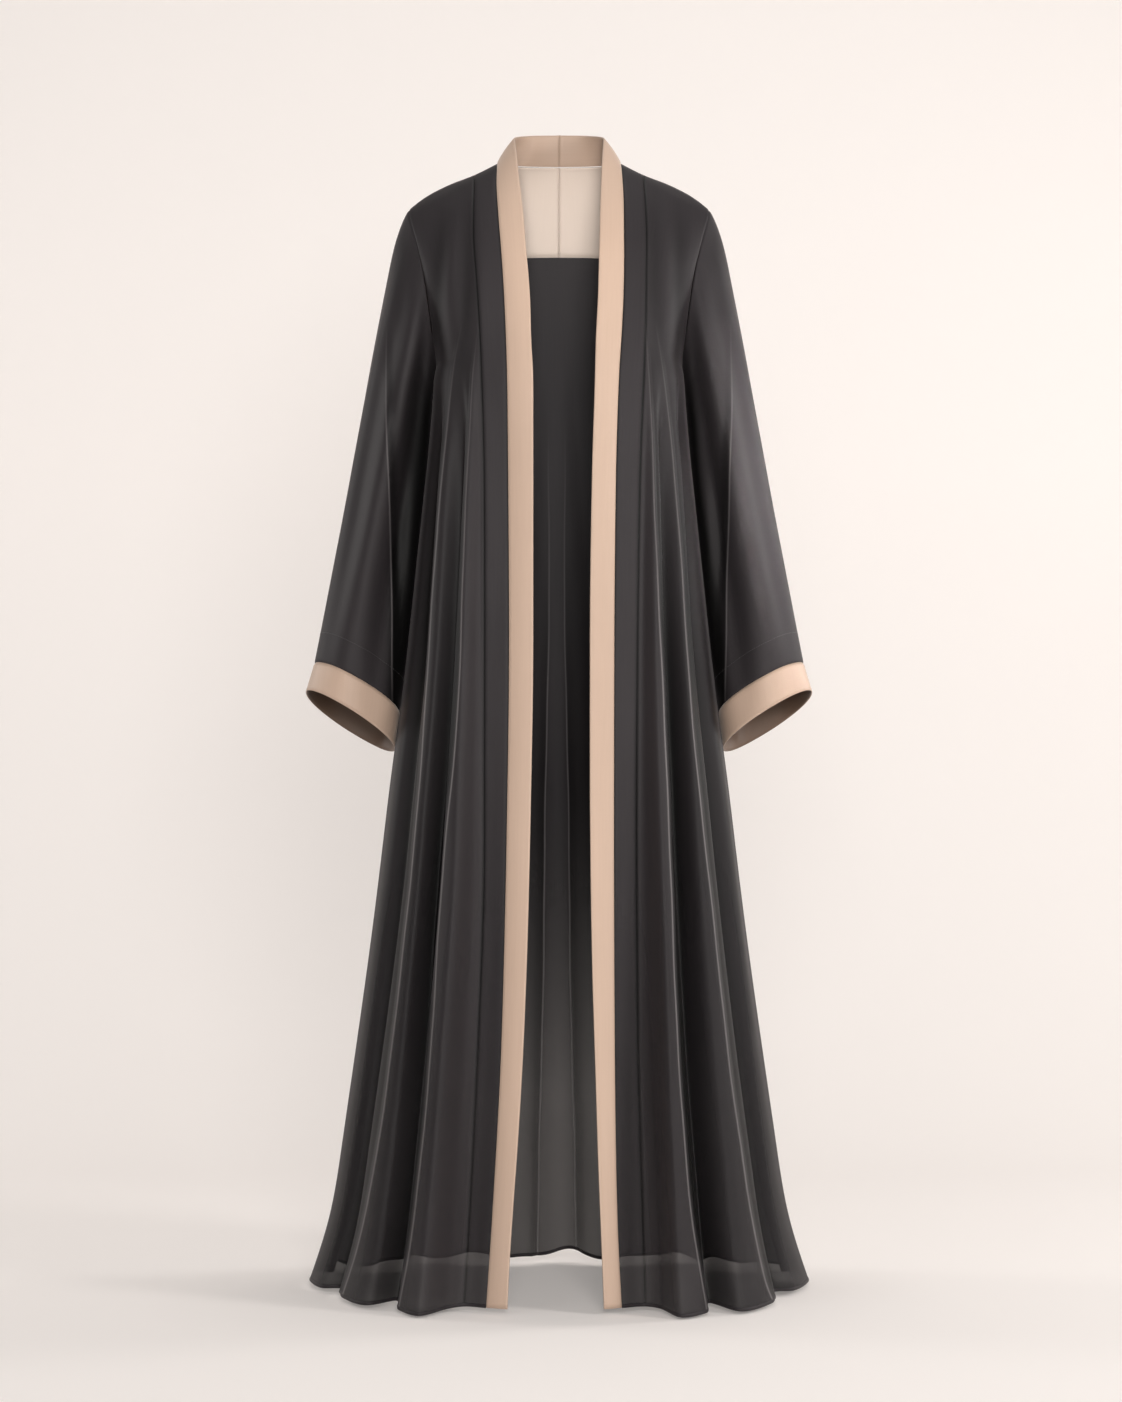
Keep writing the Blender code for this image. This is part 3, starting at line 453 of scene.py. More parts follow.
def bodyGrids():
    stripStops = [spread(frontShape["stripColumns"], 0.9, 0.9)]
    count = frontShape["foldColumns"]
    frontStops = stripStops + [spread(count, 0.9)] + [spread(count)] * 8 + [spread(count, 0, 0.9)]
    backCount = backShape["columns"]
    fronts, edges, back = {"left": [], "right": []}, {"left": [], "right": []}, []
    for row in range(rowTotal):
        level = rowLevels(row)[1]
        hanging = row >= upperCount - 1
        half = {}
        for side in sides:
            folds = "foldsLeft" if side == "left" else "foldsRight"
            band, strip = frontLines(row, side)
            section, rear = frontSection(row, side), backSection(row)
            edge = freeEdge(row, side)
            line = [edge, band, strip] + foldPoints(section, frontShape[folds], level) + [section.points[-1]]
            hollows = foldPoints(rear, backShape[folds], level)
            fade = max(0.0, 1 - row / 8) ** 2
            if fade > 0:
                top = backSection(0)
                for k, fold in enumerate(backShape[folds]):
                    share = smoothTable(list(zip(bodyShape["foldHeights"], fold[1:6])), level)[0]
                    hollows[k] = hollows[k] + fade * (shoulderNeck(share)[0] - top.at(share))
            half[side] = (mirrored(line, side), mirrored([rear.points[0]] + hollows, side))
            edges[side].append(mirrored(edge, side))
        depth = smoothTable(list(zip(bodyShape["depthHeights"], backShape["centreDepth"])), level)[0]
        centre = backSection(row).points[-1] + (0, depth, 0)
        left, right = half["left"], half["right"]
        for side, own in half.items():
            beyond = own[1][1] if hanging else 2 * own[0][-1] - own[0][-2]
            fronts[side].append(lineThrough(list(own[0]) + [beyond], frontStops))
        behind = list(left[1]) + [centre] + list(right[1])[::-1]
        if hanging:
            guides = left[0][-2], right[0][-2]
        else:
            guides = 2 * behind[0] - behind[1], 2 * behind[-1] - behind[-2]
        stops = [spread(backCount)] * (len(behind) - 3)
        stops = [spread(backCount, 0.9)] + stops + [spread(backCount, 0, 0.9)]
        back.append(lineThrough([guides[0]] + behind + [guides[1]], stops))
    fronts = {side: np.array(rows) for side, rows in fronts.items()}
    back = np.array(back)
    middle, corner = back.shape[1] // 2, 3 * backCount
    shares = np.where(
        np.arange(middle + 1) <= corner,
        shoulderEnd * np.arange(middle + 1) / corner,
        shoulderEnd + (1 - shoulderEnd) * (np.arange(middle + 1) - corner) / (middle - corner),
    )
    back[0, : middle + 1] = shoulderNeck(shares)
    back[0, ::-1][: middle + 1] = mirrored(shoulderNeck(shares), "right")
    for side in sides:
        x = np.clip(np.abs(fronts[side][0, :, 0]), neckX, armX)
        fronts[side][0] = np.stack([sides[side] * x, 0 * x, shoulderHeight(x)], axis=1)
    backStep = np.linalg.norm(np.diff(back, axis=0), axis=2).mean(1)
    frontStep = np.linalg.norm(np.diff(fronts["left"], axis=0), axis=2).mean(1)
    at = np.concatenate([[0], np.cumsum((backStep + frontStep) / 2)])
    where = [0.0]
    for a, b in zip(at[:-1], at[1:]):
        pieces = max(2, round((b - a) / bodyShape["rowSpacing"]))
        where += list(a + (b - a) * np.arange(1, pieces + 1) / pieces)
    where = np.array(where)
    fineUpper = int(np.argmin(np.abs(where - at[upperCount - 1]))) + 1
    fine = {side: splineDown(fronts[side], at, where) for side in sides}
    fineEdges = {side: splineDown(np.array(edges[side]), at, where) for side in sides}
    fineBack = splineDown(back, at, where)
    return fine, fineEdges, fineBack, fineUpper, corner, middle


fronts, freeEdges, back, upperRows, shoulderColumn, middleColumn = bodyGrids()
print("grids: fronts", fronts["left"].shape, "back", back.shape)


# Sleeves and cuffs, as rings round the arm.
sleeveShape = {
    "rings": [  # outer line x, z, the line next to the body x, z, then the middle's y and half depth
        (194, -57, 157, -265, 0, 55),
        (209, -105, 161.5, -300, 4, 64),
        (223, -172, 165.5, -345, 9, 70),
        (236, -240, 169.5, -393, 13, 72),
        (248, -306, 174, -440, 16, 72),
        (260.5, -374, 179, -486, 19, 71),
        (273, -443, 184, -532, 21, 70),
        (286, -511, 189.5, -577, 23, 69),
        (299, -577, 195.5, -632, 25, 67),
        (311.5, -638, 203, -697, 26, 65),
    ],
    "cuffEnd": (322.5, -673, 208.5, -742, 27, 65),
    "slant": 17,
    # place round the sleeve at cap and cuff, depth at cap, middle and cuff, half width
    "folds": [
        (40, 22, 2, 3, 1, 16),
        (95, 78, 5, 7, 3, 18),
        (126, 118, -6, -11, -5, 20),
        (62, 50, -2, -3, -1, 16),
        (232, 240, 3, 7, 3, 22),
        (286, 280, -3, -6, -3, 20),
    ],
    "steps": 84,
    "cuffSteps": 10,
    "cloth": 0.6,
    "cuffCloth": 1.5,
    "tuck": 4.0,  # how far it draws in beside the body
    "tuckFrom": (-205, 45),  # height where that starts, and over how much
    "tuckTo": (-720, 120),  # height where it ends, and over how much
    "cuffInside": 0.93,  # how much painted shade the inner cloth takes
}


def sleeveGrid(loop, side):
    # Rings from the armhole to the cuff's edge; the loop starts at the shoulder and goes by the front.
    rings = sleeveShape["rings"]
    table = keyed(rings)

    def ringFrame(values):
        x0, z0, x1, z1, midY, halfY = values
        top, low = np.array((x0, midY, z0)), np.array((x1, midY, z1))
        return (top + low) / 2, (top - low) / 2, halfY

    centre, arm, half = ringFrame(rings[0])
    loop = loop * (sides[side], 1, 1)
    along = unit(arm)
    local = loop - centre
    a = local @ along / np.linalg.norm(arm)
    b = -local[:, 1] / half
    off = local - (a * np.linalg.norm(arm))[:, None] * along + (b * half)[:, None] * np.array((0, 1, 0))
    step = np.linalg.norm(np.roll(loop, -1, 0) - loop, axis=1)
    travelled = np.concatenate([[0], np.cumsum(step)[:-1]]) / step.sum()
    lowAt = travelled[int(np.argmin(loop[:, 2]))]
    turn = np.where(travelled < lowAt, travelled / lowAt / 2, 0.5 + (travelled - lowAt) / (1 - lowAt) / 2)
    angle = 2 * np.pi * turn
    steps, cuffSteps = sleeveShape["steps"], sleeveShape["cuffSteps"]
    ws = list(spread(steps, 0.85, 0.85)) + [1.0]
    grid = []
    for k in range(steps + cuffSteps + 1):
        w = ws[min(k, steps)]
        if k <= steps:
            values = smoothTable(table, w)
        else:
            t = (k - steps) / cuffSteps
            values = np.array(rings[-1]) * (1 - t) + np.array(sleeveShape["cuffEnd"]) * t
        centre, arm, half = ringFrame(values)
        blend = rise(w / 0.35)
        ringA = np.sign(np.cos(angle)) * np.abs(np.cos(angle)) ** 0.92
        ringB = np.sign(np.sin(angle)) * np.abs(np.sin(angle)) ** 0.92
        ca, cb = (1 - blend) * a + blend * ringA, (1 - blend) * b + blend * ringB
        ring = centre + ca[:, None] * arm - cb[:, None] * np.array((0, half, 0))
        ring = ring + cb[:, None] * np.array((0, 0, sleeveShape["slant"] * w**2)) + (1 - blend) * off
        foldWay = unit(ca[:, None] * unit(arm) - cb[:, None] * np.array((0, 1.0, 0)))
        push = np.zeros(len(loop))
        for cap, cuff, d0, d1, d2, width in sleeveShape["folds"]:
            place = np.radians(cap + (cuff - cap) * w)
            depth = (1 - w) ** 2 * d0 + 2 * w * (1 - w) * 2 * d1 + w**2 * d2
            depth *= min(1.0, w / 0.15)
            if k > steps:
                depth *= 1 - 0.4 * (k - steps) / cuffSteps
            gap = (angle - place + np.pi) % (2 * np.pi) - np.pi
            push += depth * np.exp(-((gap / np.radians(width)) ** 2))
        grid.append(ring + push[:, None] * foldWay)
    return np.array(grid) * (sides[side], 1, 1)


sleeves = {}
for side in sides:
    edge = 0 if side == "left" else back.shape[1] - 1
    forward, rear = fronts[side][:upperRows, -1], back[:upperRows, edge]
    loop = np.concatenate([forward, rear[1:-1][::-1]])
    sleeves[side] = sleeveGrid(loop, side)
    sleeves[side][0] = loop


shoulderTip = {"reach": 15, "deep": 30, "cut": 4.4, "slant": (-0.78, -0.62)}


def softTip(points):
    # Rounds off the corner at the end of the shoulder, where front, back and sleeve meet.
    away = np.hypot(np.abs(points[..., 0]) - armX, points[..., 2] - bodyShape["shoulder"][-1][1])
    near = np.exp(-away / shoulderTip["reach"]) * np.exp(-((points[..., 1] / shoulderTip["deep"]) ** 2))
    inwards, down = shoulderTip["slant"]
    way = np.stack([inwards * np.sign(points[..., 0]), 0 * near, down + 0 * near], axis=-1)
    return points + (shoulderTip["cut"] * near)[..., None] * way


def tuckedIn(grid):
    # The side next to the body lies just behind the body's edge, between underarm and hip.
    width = np.abs(grid[..., 0])
    middle, least = width.mean(axis=1, keepdims=True), width.min(axis=1, keepdims=True)
    inner = np.clip((middle - width) / (middle - least), 0, 1) ** 2
    z = grid[..., 2]
    (upper, over), (lower, under) = sleeveShape["tuckFrom"], sleeveShape["tuckTo"]
    push = sleeveShape["tuck"] * inner * rise((upper - z) / over) * rise((z - lower) / under)
    return grid - push[..., None] * np.stack([np.sign(grid[..., 0]), 0 * z, 0 * z], axis=-1)


def wavyHem(grid):
    # Between the side seams the back's hem lifts in shallow, uneven waves.
    across = np.linspace(0, 1, grid.shape[1])
    wave = 0.5 + 0.3 * np.sin(2 * np.pi * (backShape["hemWaves"] * across + 0.1))
    wave += 0.2 * np.sin(2 * np.pi * (1.7 * backShape["hemWaves"] * across + 0.3))
    wave = wave * rise(across / 0.07) * rise((1 - across) / 0.07)
    low = rise((backShape["wavyFrom"] - grid[..., 2]) / backShape["wavyOver"])
    return grid + (backShape["hemLift"] * wave * low)[..., None] * np.array([0, 0, 1])


fronts = {side: softTip(grid) for side, grid in fronts.items()}
sleeves = {side: tuckedIn(softTip(grid)) for side, grid in sleeves.items()}
back = wavyHem(softTip(back))
print("grids: sleeves", sleeves["left"].shape)


# Normals, matched where two pieces are sewn together.
def seamUp(line):
    # Square to a shoulder line, in the upright plane that it lies in.
    along = np.gradient(line, axis=0)
    way = unit(np.stack([-along[:, 2], 0 * along[:, 0], along[:, 0]], axis=1))
    return way * np.where(way[:, 2:] < 0, -1, 1)


frontNormals = {side: outward(fronts[side], gridNormals(fronts[side])) for side in sides}
backNormals = outward(back, gridNormals(back))
for side in sides:
    edge = 0 if side == "left" else back.shape[1] - 1
    shared = unit(frontNormals[side][upperRows - 1 :, -1] + backNormals[upperRows - 1 :, edge])
    frontNormals[side][upperRows - 1 :, -1] = shared
    backNormals[upperRows - 1 :, edge] = shared
    frontNormals[side][0] = seamUp(fronts[side][0])
shoulderColumns = np.arange(shoulderColumn + 1)
shoulderColumns = np.concatenate([shoulderColumns, back.shape[1] - 1 - shoulderColumns[::-1]])
backNormals[0, shoulderColumns] = seamUp(back[0])[shoulderColumns]
backNormals[:, middleColumn] = unit(backNormals[:, middleColumn] * (0, 1, 1))
sleeveNormals = {}
for side in sides:
    normals = gridNormals(sleeves[side], ring=True)
    axis = sleeves[side].mean(axis=1, keepdims=True)
    sleeveNormals[side] = normals if ((sleeves[side] - axis) * normals).sum() > 0 else -normals


# Creases placed one by one, in mm as they show from the front: height, then x outwards from the middle.
creaseShape = {
    # line as (height, x), depth as (height, depth), width of the drop, width over which it comes back
    "edgesLeft": [
        ("first", [(-190, 110), (-300, 117), (-415, 120.5), (-680, 134), (-877, 141), (-1180, 156),
                   (-1336, 168.5), (-1455, 189)],
         [(-200, 0), (-330, 2.5), (-700, 8), (-1455, 15)], 3.4, 34),
        ("second", [(-190, 122), (-288, 137), (-415, 148.5), (-680, 168.5), (-1007, 201.5), (-1240, 231),
                    (-1414, 261), (-1455, 277)],
         [(-200, 0), (-300, 2.5), (-700, 8), (-1455, 14)], 3.4, 30),
    ],
    "edgesRight": [
        ("first", [(-190, 102), (-272, 111), (-415, 118), (-680, 129), (-877, 146), (-1150, 166),
                   (-1378, 190), (-1455, 204)],
         [(-200, 0), (-330, 2.5), (-700, 8), (-1455, 15)], 3.4, 34),
        ("second", [(-200, 124), (-257, 134.5), (-415, 151), (-680, 170), (-998, 198), (-1251, 232),
                    (-1378, 257.5), (-1455, 281)],
         [(-210, 0), (-300, 2.5), (-700, 8), (-1455, 14)], 3.4, 30),
    ],
    # soft troughs (+) and ridges (-): line, then depth where it is deepest, where it starts and ends, width
    "softLeft": [
        ([(-30, 120), (-150, 122), (-300, 130)], 3.6, 12),
        ([(-45, 152), (-140, 152), (-270, 156)], 4.2, 11),
        ([(-60, 136), (-150, 137), (-240, 142)], -1.4, 8),
        ([(-760, 118), (-1000, 126), (-1300, 138)], 1.2, 12),
        ([(-1080, 246), (-1260, 268), (-1420, 296)], 2.4, 10),
    ],
    "softRight": [
        ([(-30, 114), (-150, 117), (-310, 127)], 3.4, 12),
        ([(-50, 149), (-150, 152), (-280, 159)], 4.2, 11),
        ([(-65, 131), (-150, 140), (-230, 148)], -1.5, 7),
        ([(-720, 115), (-980, 128), (-1320, 150)], 1.2, 12),
        ([(-1100, 250), (-1280, 272), (-1420, 300)], 2.4, 10),
    ],
    # painted shade where the body lies in the shade of the arm, and the arm in that of the body
    "armShade": [  # height, where it starts, how dark
        (-190, 150, 0.15), (-300, 150, 0.2), (-430, 160, 0.2), (-560, 175, 0.3), (-670, 184, 0.75),
        (-800, 201, 0.7), (-1000, 218, 0.4), (-1250, 246, 0),
    ],
    "armEdgeLeft": [  # height, where the shade starts and where it is full
        (-210, 180, 166), (-300, 184, 167), (-402, 190, 172), (-554, 212, 194), (-655, 218, 203),
        (-740, 224, 209),
    ],
    "armEdgeRight": [
        (-210, 196, 170), (-300, 204, 169), (-402, 212, 178), (-554, 226, 204), (-655, 228, 206),
        (-740, 232, 210),
    ],
    # the same way on the back, in plain x and height
    "backEdges": [
        ("blade", [(-300, 64), (-700, 84), (-1100, 108), (-1430, 132)],
         [(-320, 0), (-700, 5), (-1430, 11)], 5.0, 24),
        ("flank", [(-320, 128), (-700, 158), (-1100, 196), (-1430, 236)],
         [(-340, 0), (-700, 5), (-1430, 11)], 5.0, 24),
        ("middle", [(-520, 14), (-900, 20), (-1430, 30)], [(-520, 0), (-900, 3), (-1430, 8)], 6.0, 24),
    ],
    "backSoft": [
        ([(-70, 60), (-220, 74), (-420, 92)], 2.4, 14),
        ([(-110, 128), (-260, 120), (-460, 124)], 2.6, 13),
        ([(-160, 22), (-330, 30), (-560, 44)], 1.8, 12),
        ([(-420, 44), (-700, 52), (-1100, 66)], 2.4, 10),
        ([(-600, 120), (-900, 140), (-1300, 172)], 2.6, 10),
        ([(-900, 36), (-1150, 44), (-1430, 60)], 3.0, 10),
    ],
    # on the sleeves the fall is on the side next to the body
    "sleeveEdges": [
        ("inner", [(-210, 217), (-300, 219), (-402, 216), (-554, 211), (-655, 210)],
         [(-200, 0), (-330, 4), (-500, 6), (-640, 4), (-700, 0)], 6.0, 22),
    ],
    "sleeveSoft": [
        ([(-257, 232), (-420, 252), (-592, 276)], 0.8, 12),
        ([(-420, 228), (-540, 232), (-690, 240)], 0.9, 10),
        ([(-70, 190), (-130, 199), (-210, 206)], 1.4, 8),
    ],
    "lip": 0.1,  # how far an edge rises before it drops, as a share of the drop
    "ripple": 0.16,  # faint waves over all of the cloth
    # painted shade in the soft troughs, for each mm of their depth
    "softShade": 0.11,
    "seamDark": 0.97,  # the thin dark line in the seams on either side of the strip
    "seamWide": 1.9,
    "bandSeamWide": 1.6,
    "lineReach": 40,  # width of the strip about an edge in which its distance is kept
}


eye = {"aside": 2.5, "away": 4900, "height": -682}  # where the camera stands


def frontView(grid):
    # Where points show from the camera, brought to the depth of the shoulders.
    near = eye["away"] / (eye["away"] + grid[..., 1])
    return np.abs(grid[..., 0]) * near, (grid[..., 2] - eye["height"]) * near + eye["height"]


def curveAt(rows, at):
    return smoothTable(rows, at.ravel())[:, 0].reshape(at.shape)


def curvesAt(rows, at):
    values = smoothTable(rows, at.ravel())
    return [values[:, i].reshape(at.shape) for i in range(values.shape[1])]


def creased(grid, x, height, edges, soft, inward, fallsIn=False, seed=0.0):
    # Pushes the cloth in beyond each edge and along each trough. It also gives the painted shade, how deep in
    # shade it lies, and for the first three edges how far off the edge is, kept between 0 and 1, for the
    # painted highlight and shade there.
    push, shade, reach = np.zeros(x.shape), np.zeros(x.shape), np.zeros(x.shape)
    lines = np.zeros(x.shape + (4,))
    for k, (_, line, depths, drop, comesBack) in enumerate(edges):
        away = x - curveAt(line, height)
        away = away + 0.7 * np.sin(height / 74 + seed + k) + 0.25 * np.sin(height / 23 + 2 * seed)
        away = -away if fallsIn else away
        depth = curveAt(depths, height)
        fall = rise(away / drop) * (1 - rise((away - drop) / comesBack))
        lip = np.exp(-((np.minimum(away, 0) / 5) ** 2)) * (1 - rise(away / drop))
        push += depth * (fall - creaseShape["lip"] * lip)
        near = np.clip(depth / 8, 0, 1)
        fading = np.exp(-np.maximum(away, 0) / (0.5 * comesBack))
        shade = np.maximum(shade, 0.7 * near * rise(away / drop) * fading)
        if k < 3:
            lines[..., k] = np.clip(0.5 + away / creaseShape["lineReach"], 0.001, 1)
            reach = np.maximum(reach, near)
    lines[..., 3] = reach
    for line, depth, width in soft:
        low, high = line[-1][0], line[0][0]
        share = np.clip((height - low) / (high - low), 0, 1)
        fade = np.sin(np.pi * share) ** 0.8
        away = x - curveAt(line, height)
        trough = depth * fade * np.exp(-((away / width) ** 2))
        push += trough
        shade += creaseShape["softShade"] * trough
    wave = np.sin(x / 9.3 + height / 83 + seed) * np.sin(height / 61 - x / 37 + 1.7 * seed)
    wave = wave + 0.7 * np.sin(x / 5.1 - height / 47 + 3.1 * seed) * np.sin(height / 29 + seed)
    push += creaseShape["ripple"] * wave * rise((-height - 20) / 120)
    return grid + push[..., None] * inward, np.clip(shade, -0.5, 1), lines


# painted shade, and where the painted highlights lie, for each piece
shades, ridges = {}, {}
for side in sides:
    which, own = side.capitalize(), fronts[side]
    x, height = frontView(own)
    seamRows = [(row[0], row[1 + (side == "right")]) for row in frontShape["seamX"]]
    edges, soft = creaseShape["edges" + which], creaseShape["soft" + which]
    moved, shade, lines = creased(own, x, height, edges, soft, (0, 1.0, 0), seed=len(side))
    # the creases fade out beside the seams
    across = alongRows(own)
    calm = rise((x - curveAt(seamRows, height)) / 16) * rise(across[:, -1:] / 12 - across / 12)
    calm = calm * rise(alongColumns(own) / 30)
    fronts[side] = own + calm[..., None] * (moved - own)
    # painted shade on the body beside the arm
    shadeFrom, shadeDepth = curvesAt(creaseShape["armShade"], height)
    besideArm = shadeDepth * rise((x - shadeFrom) / 18) * rise((-height - 190) / 70)
    across = alongRows(fronts[side])
    atStrip = np.abs(across - across[:, [frontShape["stripColumns"]]])
    seams = np.exp(-((atStrip / creaseShape["seamWide"]) ** 2))
    seams = creaseShape["seamDark"] * (seams + np.exp(-((across / creaseShape["bandSeamWide"]) ** 2)))
    shades["front_" + side] = np.maximum(np.maximum(shade * calm, besideArm), seams)
    lines[..., 3] *= calm
    ridges["front_" + side] = lines

    own = sleeves[side]
    x, height = frontView(own)
    edges, soft = creaseShape["sleeveEdges"], creaseShape["sleeveSoft"]
    facing = rise(-sleeveNormals[side][..., 1] * 2.2 + 0.3)
    behind = rise(sleeveNormals[side][..., 1] * 2.2 + 0.3)
    ends = rise(alongColumns(own) / 25)
    forward, shade, lines = creased(own, x, height, edges, soft, (0, 1.0, 0), True, 2 + len(side))
    # a little aside and lower on the rear
    rear, rearShade, _ = creased(own, x + 4, height + 30, edges, soft, (0, -1.0, 0), True, len(side))
    moved = own + (facing * ends)[..., None] * (forward - own)
    sleeves[side] = moved + (behind * ends)[..., None] * (rear - own)
    # painted shade on the sleeve's side next to the body
    shadeFrom, shadeFull = curvesAt(creaseShape["armEdge" + which], height)
    inner = rise((shadeFrom - x) / (shadeFrom - shadeFull)) * rise((-height - 190) / 150)
    shade = (facing * shade + behind * rearShade) * ends
    shades["sleeve_" + side] = np.maximum(shade, 0.95 * inner * facing)
    lines[..., 3] *= facing * ends
    ridges["sleeve_" + side] = lines

# on the back the creases of the two halves aren't quite alike
x, height = np.abs(back[..., 0]) + 6 * (back[..., 0] > 0), back[..., 2]
edges, soft = creaseShape["backEdges"], creaseShape["backSoft"]
moved, shade, lines = creased(back, x, height, edges, soft, (0, -1.0, 0), seed=1.3)
across = alongRows(back)
calm = rise(across / 14) * rise((across[:, -1:] - across) / 14) * rise(alongColumns(back) / 40)
back = back + calm[..., None] * (moved - back)
shades["back"] = shade * calm
lines[..., 3] *= calm
ridges["back"] = lines

for side in sides:
    turned = outward(fronts[side], gridNormals(fronts[side]))
    edge = 0 if side == "left" else back.shape[1] - 1
    turned[upperRows - 1 :, -1] = frontNormals[side][upperRows - 1 :, -1]
    turned[0], turned[:, 0] = frontNormals[side][0], frontNormals[side][:, 0]
    frontNormals[side] = turned
    turned = gridNormals(sleeves[side], ring=True)
    turned = turned * np.sign((turned * sleeveNormals[side]).sum())
    turned[0] = sleeveNormals[side][0]
    sleeveNormals[side] = turned
turned = outward(back, gridNormals(back))
turned[0], turned[:, 0], turned[:, -1] = backNormals[0], backNormals[:, 0], backNormals[:, -1]
turned[:, middleColumn] = unit(turned[:, middleColumn] * (0, 1, 1))
backNormals = turned
print("creases: placed")


# Turning grids into closed thin shells.
def seamTurned(grid, normals, edges):
    # Bends the named edges in, so that two sewn pieces meet in a soft groove.
    out = grid.copy()
    reach, turn = bodyShape["seamReach"], bodyShape["seamTurn"]
    across = alongRows(grid)
    down = alongColumns(grid)
    for name in edges:
        gap = {
            "first": across,
            "last": across[:, -1:] - across,
            "top": down,
            "bottom": down[-1:] - down,
        }[name]
        out = out - (turn * np.exp(-((gap / reach) ** 2)))[..., None] * normals
    return out


def cloth(name, outer, normals, thickness, material, ring=False, shade=None, within=0.0, lines=None):
    # A closed wall between a grid and its copy moved in, with the cloth's own lengths as its UV map.
    inner = outer - thickness * normals
    rows, columns = outer.shape[:2]
    if ring:
        across = alongRows(np.concatenate([outer, outer[:, :1]], axis=1))
    else:
        across = alongRows(outer)
    down = alongColumns(outer)
    across = across - across[:, [across.shape[1] // 2]]
    count = columns if ring else columns - 1
    r, c = np.meshgrid(np.arange(rows - 1), np.arange(count), indexing="ij")
    r, c = r.ravel(), c.ravel()
    n = (c + 1) % columns
    quads = np.stack([r * columns + c, r * columns + n, (r + 1) * columns + n, (r + 1) * columns + c], axis=1)
    quadUv = np.stack([across[r, c], down[r, c], across[r, c + 1], down[r, n], across[r + 1, c + 1],
                       down[r + 1, n], across[r + 1, c], down[r + 1, c]], axis=1).reshape(-1, 4, 2)
    offset = rows * columns
    faces = [quads, quads[:, ::-1] + offset]
    uvs = [quadUv, quadUv[:, ::-1]]

    def rim(first, second, uvFirst, uvSecond, turned):
        strip = np.stack([first, second, second + offset, first + offset], axis=1)
        stripUv = np.stack([uvFirst, uvSecond, uvSecond, uvFirst], axis=1)
        faces.append(strip[:, ::-1] if turned else strip)
        uvs.append(stripUv[:, ::-1] if turned else stripUv)

    k = np.arange(count)
    for row in (0, rows - 1):
        first, second = row * columns + k, row * columns + (k + 1) % columns
        uvFirst = np.stack([across[row, k], down[row, k]], axis=1)
        uvSecond = np.stack([across[row, k + 1], down[row, (k + 1) % columns]], axis=1)
        rim(first, second, uvFirst, uvSecond, row == 0)
    k = np.arange(0 if ring else rows - 1)
    for column in (0, columns - 1):
        first, second = k * columns + column, (k + 1) * columns + column
        uvFirst = np.stack([across[k, column], down[k, column]], axis=1)
        uvSecond = np.stack([across[k + 1, column], down[k + 1, column]], axis=1)
        rim(first, second, uvFirst, uvSecond, column > 0)
    faces, uvs = np.concatenate(faces), np.concatenate(uvs)
    points = np.concatenate([outer.reshape(-1, 3), inner.reshape(-1, 3)]) * 0.001
    corner = points[quads]
    facing = np.cross(corner[:, 2] - corner[:, 0], corner[:, 3] - corner[:, 1])
    if (facing * normals.reshape(-1, 3)[quads[:, 0]]).sum() < 0:
        faces, uvs = faces[:, ::-1], uvs[:, ::-1]
    words = name.split("_")
    title = words[0] + "".join(word.capitalize() for word in words[1:]) + "Cloth"
    mesh = bpy.data.meshes.new(title)
    mesh.from_pydata(points.tolist(), [], faces.tolist())
    layer = mesh.uv_layers.new(name="cloth")
    layer.data.foreach_set("uv", (uvs * 0.001).astype(np.float32).ravel())
    mesh.polygons.foreach_set("use_smooth", np.ones(len(faces), bool))
    if shade is not None:
        fold = mesh.attributes.new("foldShade", "FLOAT", "POINT")
        values = np.concatenate([shade.ravel(), np.full(shade.size, within)])
        fold.data.foreach_set("value", values.astype(np.float32))
    if lines is not None:
        ridge = mesh.attributes.new("foldEdges", "FLOAT_COLOR", "POINT")
        values = lines.reshape(-1, 4)
        ridge.data.foreach_set("color", np.concatenate([values, values]).astype(np.float32).ravel())
    mesh.materials.append(material)
    mesh.update()
    piece = bpy.data.objects.new(title, mesh)
    bpy.context.scene.collection.objects.link(piece)
    return piece


hemShape = {"height": 4.6, "thick": 1.5, "sides": 10, "gap": 0.2}


def solidPiece(name, points, faces, material):
    mesh = bpy.data.meshes.new(name)
    mesh.from_pydata((np.asarray(points) * 0.001).tolist(), [], faces)
    mesh.polygons.foreach_set("use_smooth", np.ones(len(faces), bool))
    mesh.materials.append(material)
    mesh.update()
    piece = bpy.data.objects.new(name, mesh)
    bpy.context.scene.collection.objects.link(piece)
    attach(piece, "root")
    return piece


def tubeFaces(stops, count):
    # Faces of a tube of rings with this many points each, with its two ends closed last.
    faces = []
    for i in range(stops - 1):
        for j in range(count):
            k = (j + 1) % count
            faces.append((i * count + j, i * count + k, (i + 1) * count + k, (i + 1) * count + j))
    return faces + [tuple(range(count))[::-1], tuple((stops - 1) * count + j for j in range(count))]


def rolledHem(name, grid, normals, thickness):
    # The narrow hem, turned over twice: a flat roll closed at both ends that wraps the last row.
    line, ways = grid[-1].copy(), normals[-1]
    for end, beside in ((0, 1), (-1, -2)):
        line[end] += hemShape["gap"] * unit(line[beside] - line[end])
    up = unit(grid[-4] - grid[-1])
    high, thick, count = hemShape["height"] / 2, hemShape["thick"] / 2, hemShape["sides"]
    middle = line + (high - 0.5) * up - thickness / 2 * ways
    swell = 1 + 0.12 * np.sin(np.arange(len(line)) / 2.3)
    rings = []
    for j in range(count):
        angle = 2 * np.pi * j / count
        rings.append(middle + high * np.cos(angle) * up + (thick * swell)[:, None] * np.sin(angle) * ways)
    points = np.stack(rings, axis=1).reshape(-1, 3)
    faces = tubeFaces(len(line), count)
    along = line[1] - line[0]
    if np.cross(ways[0], up[0]) @ along > 0:
        faces = [face[::-1] for face in faces]
    return solidPiece(name, points, faces, charcoalHem)


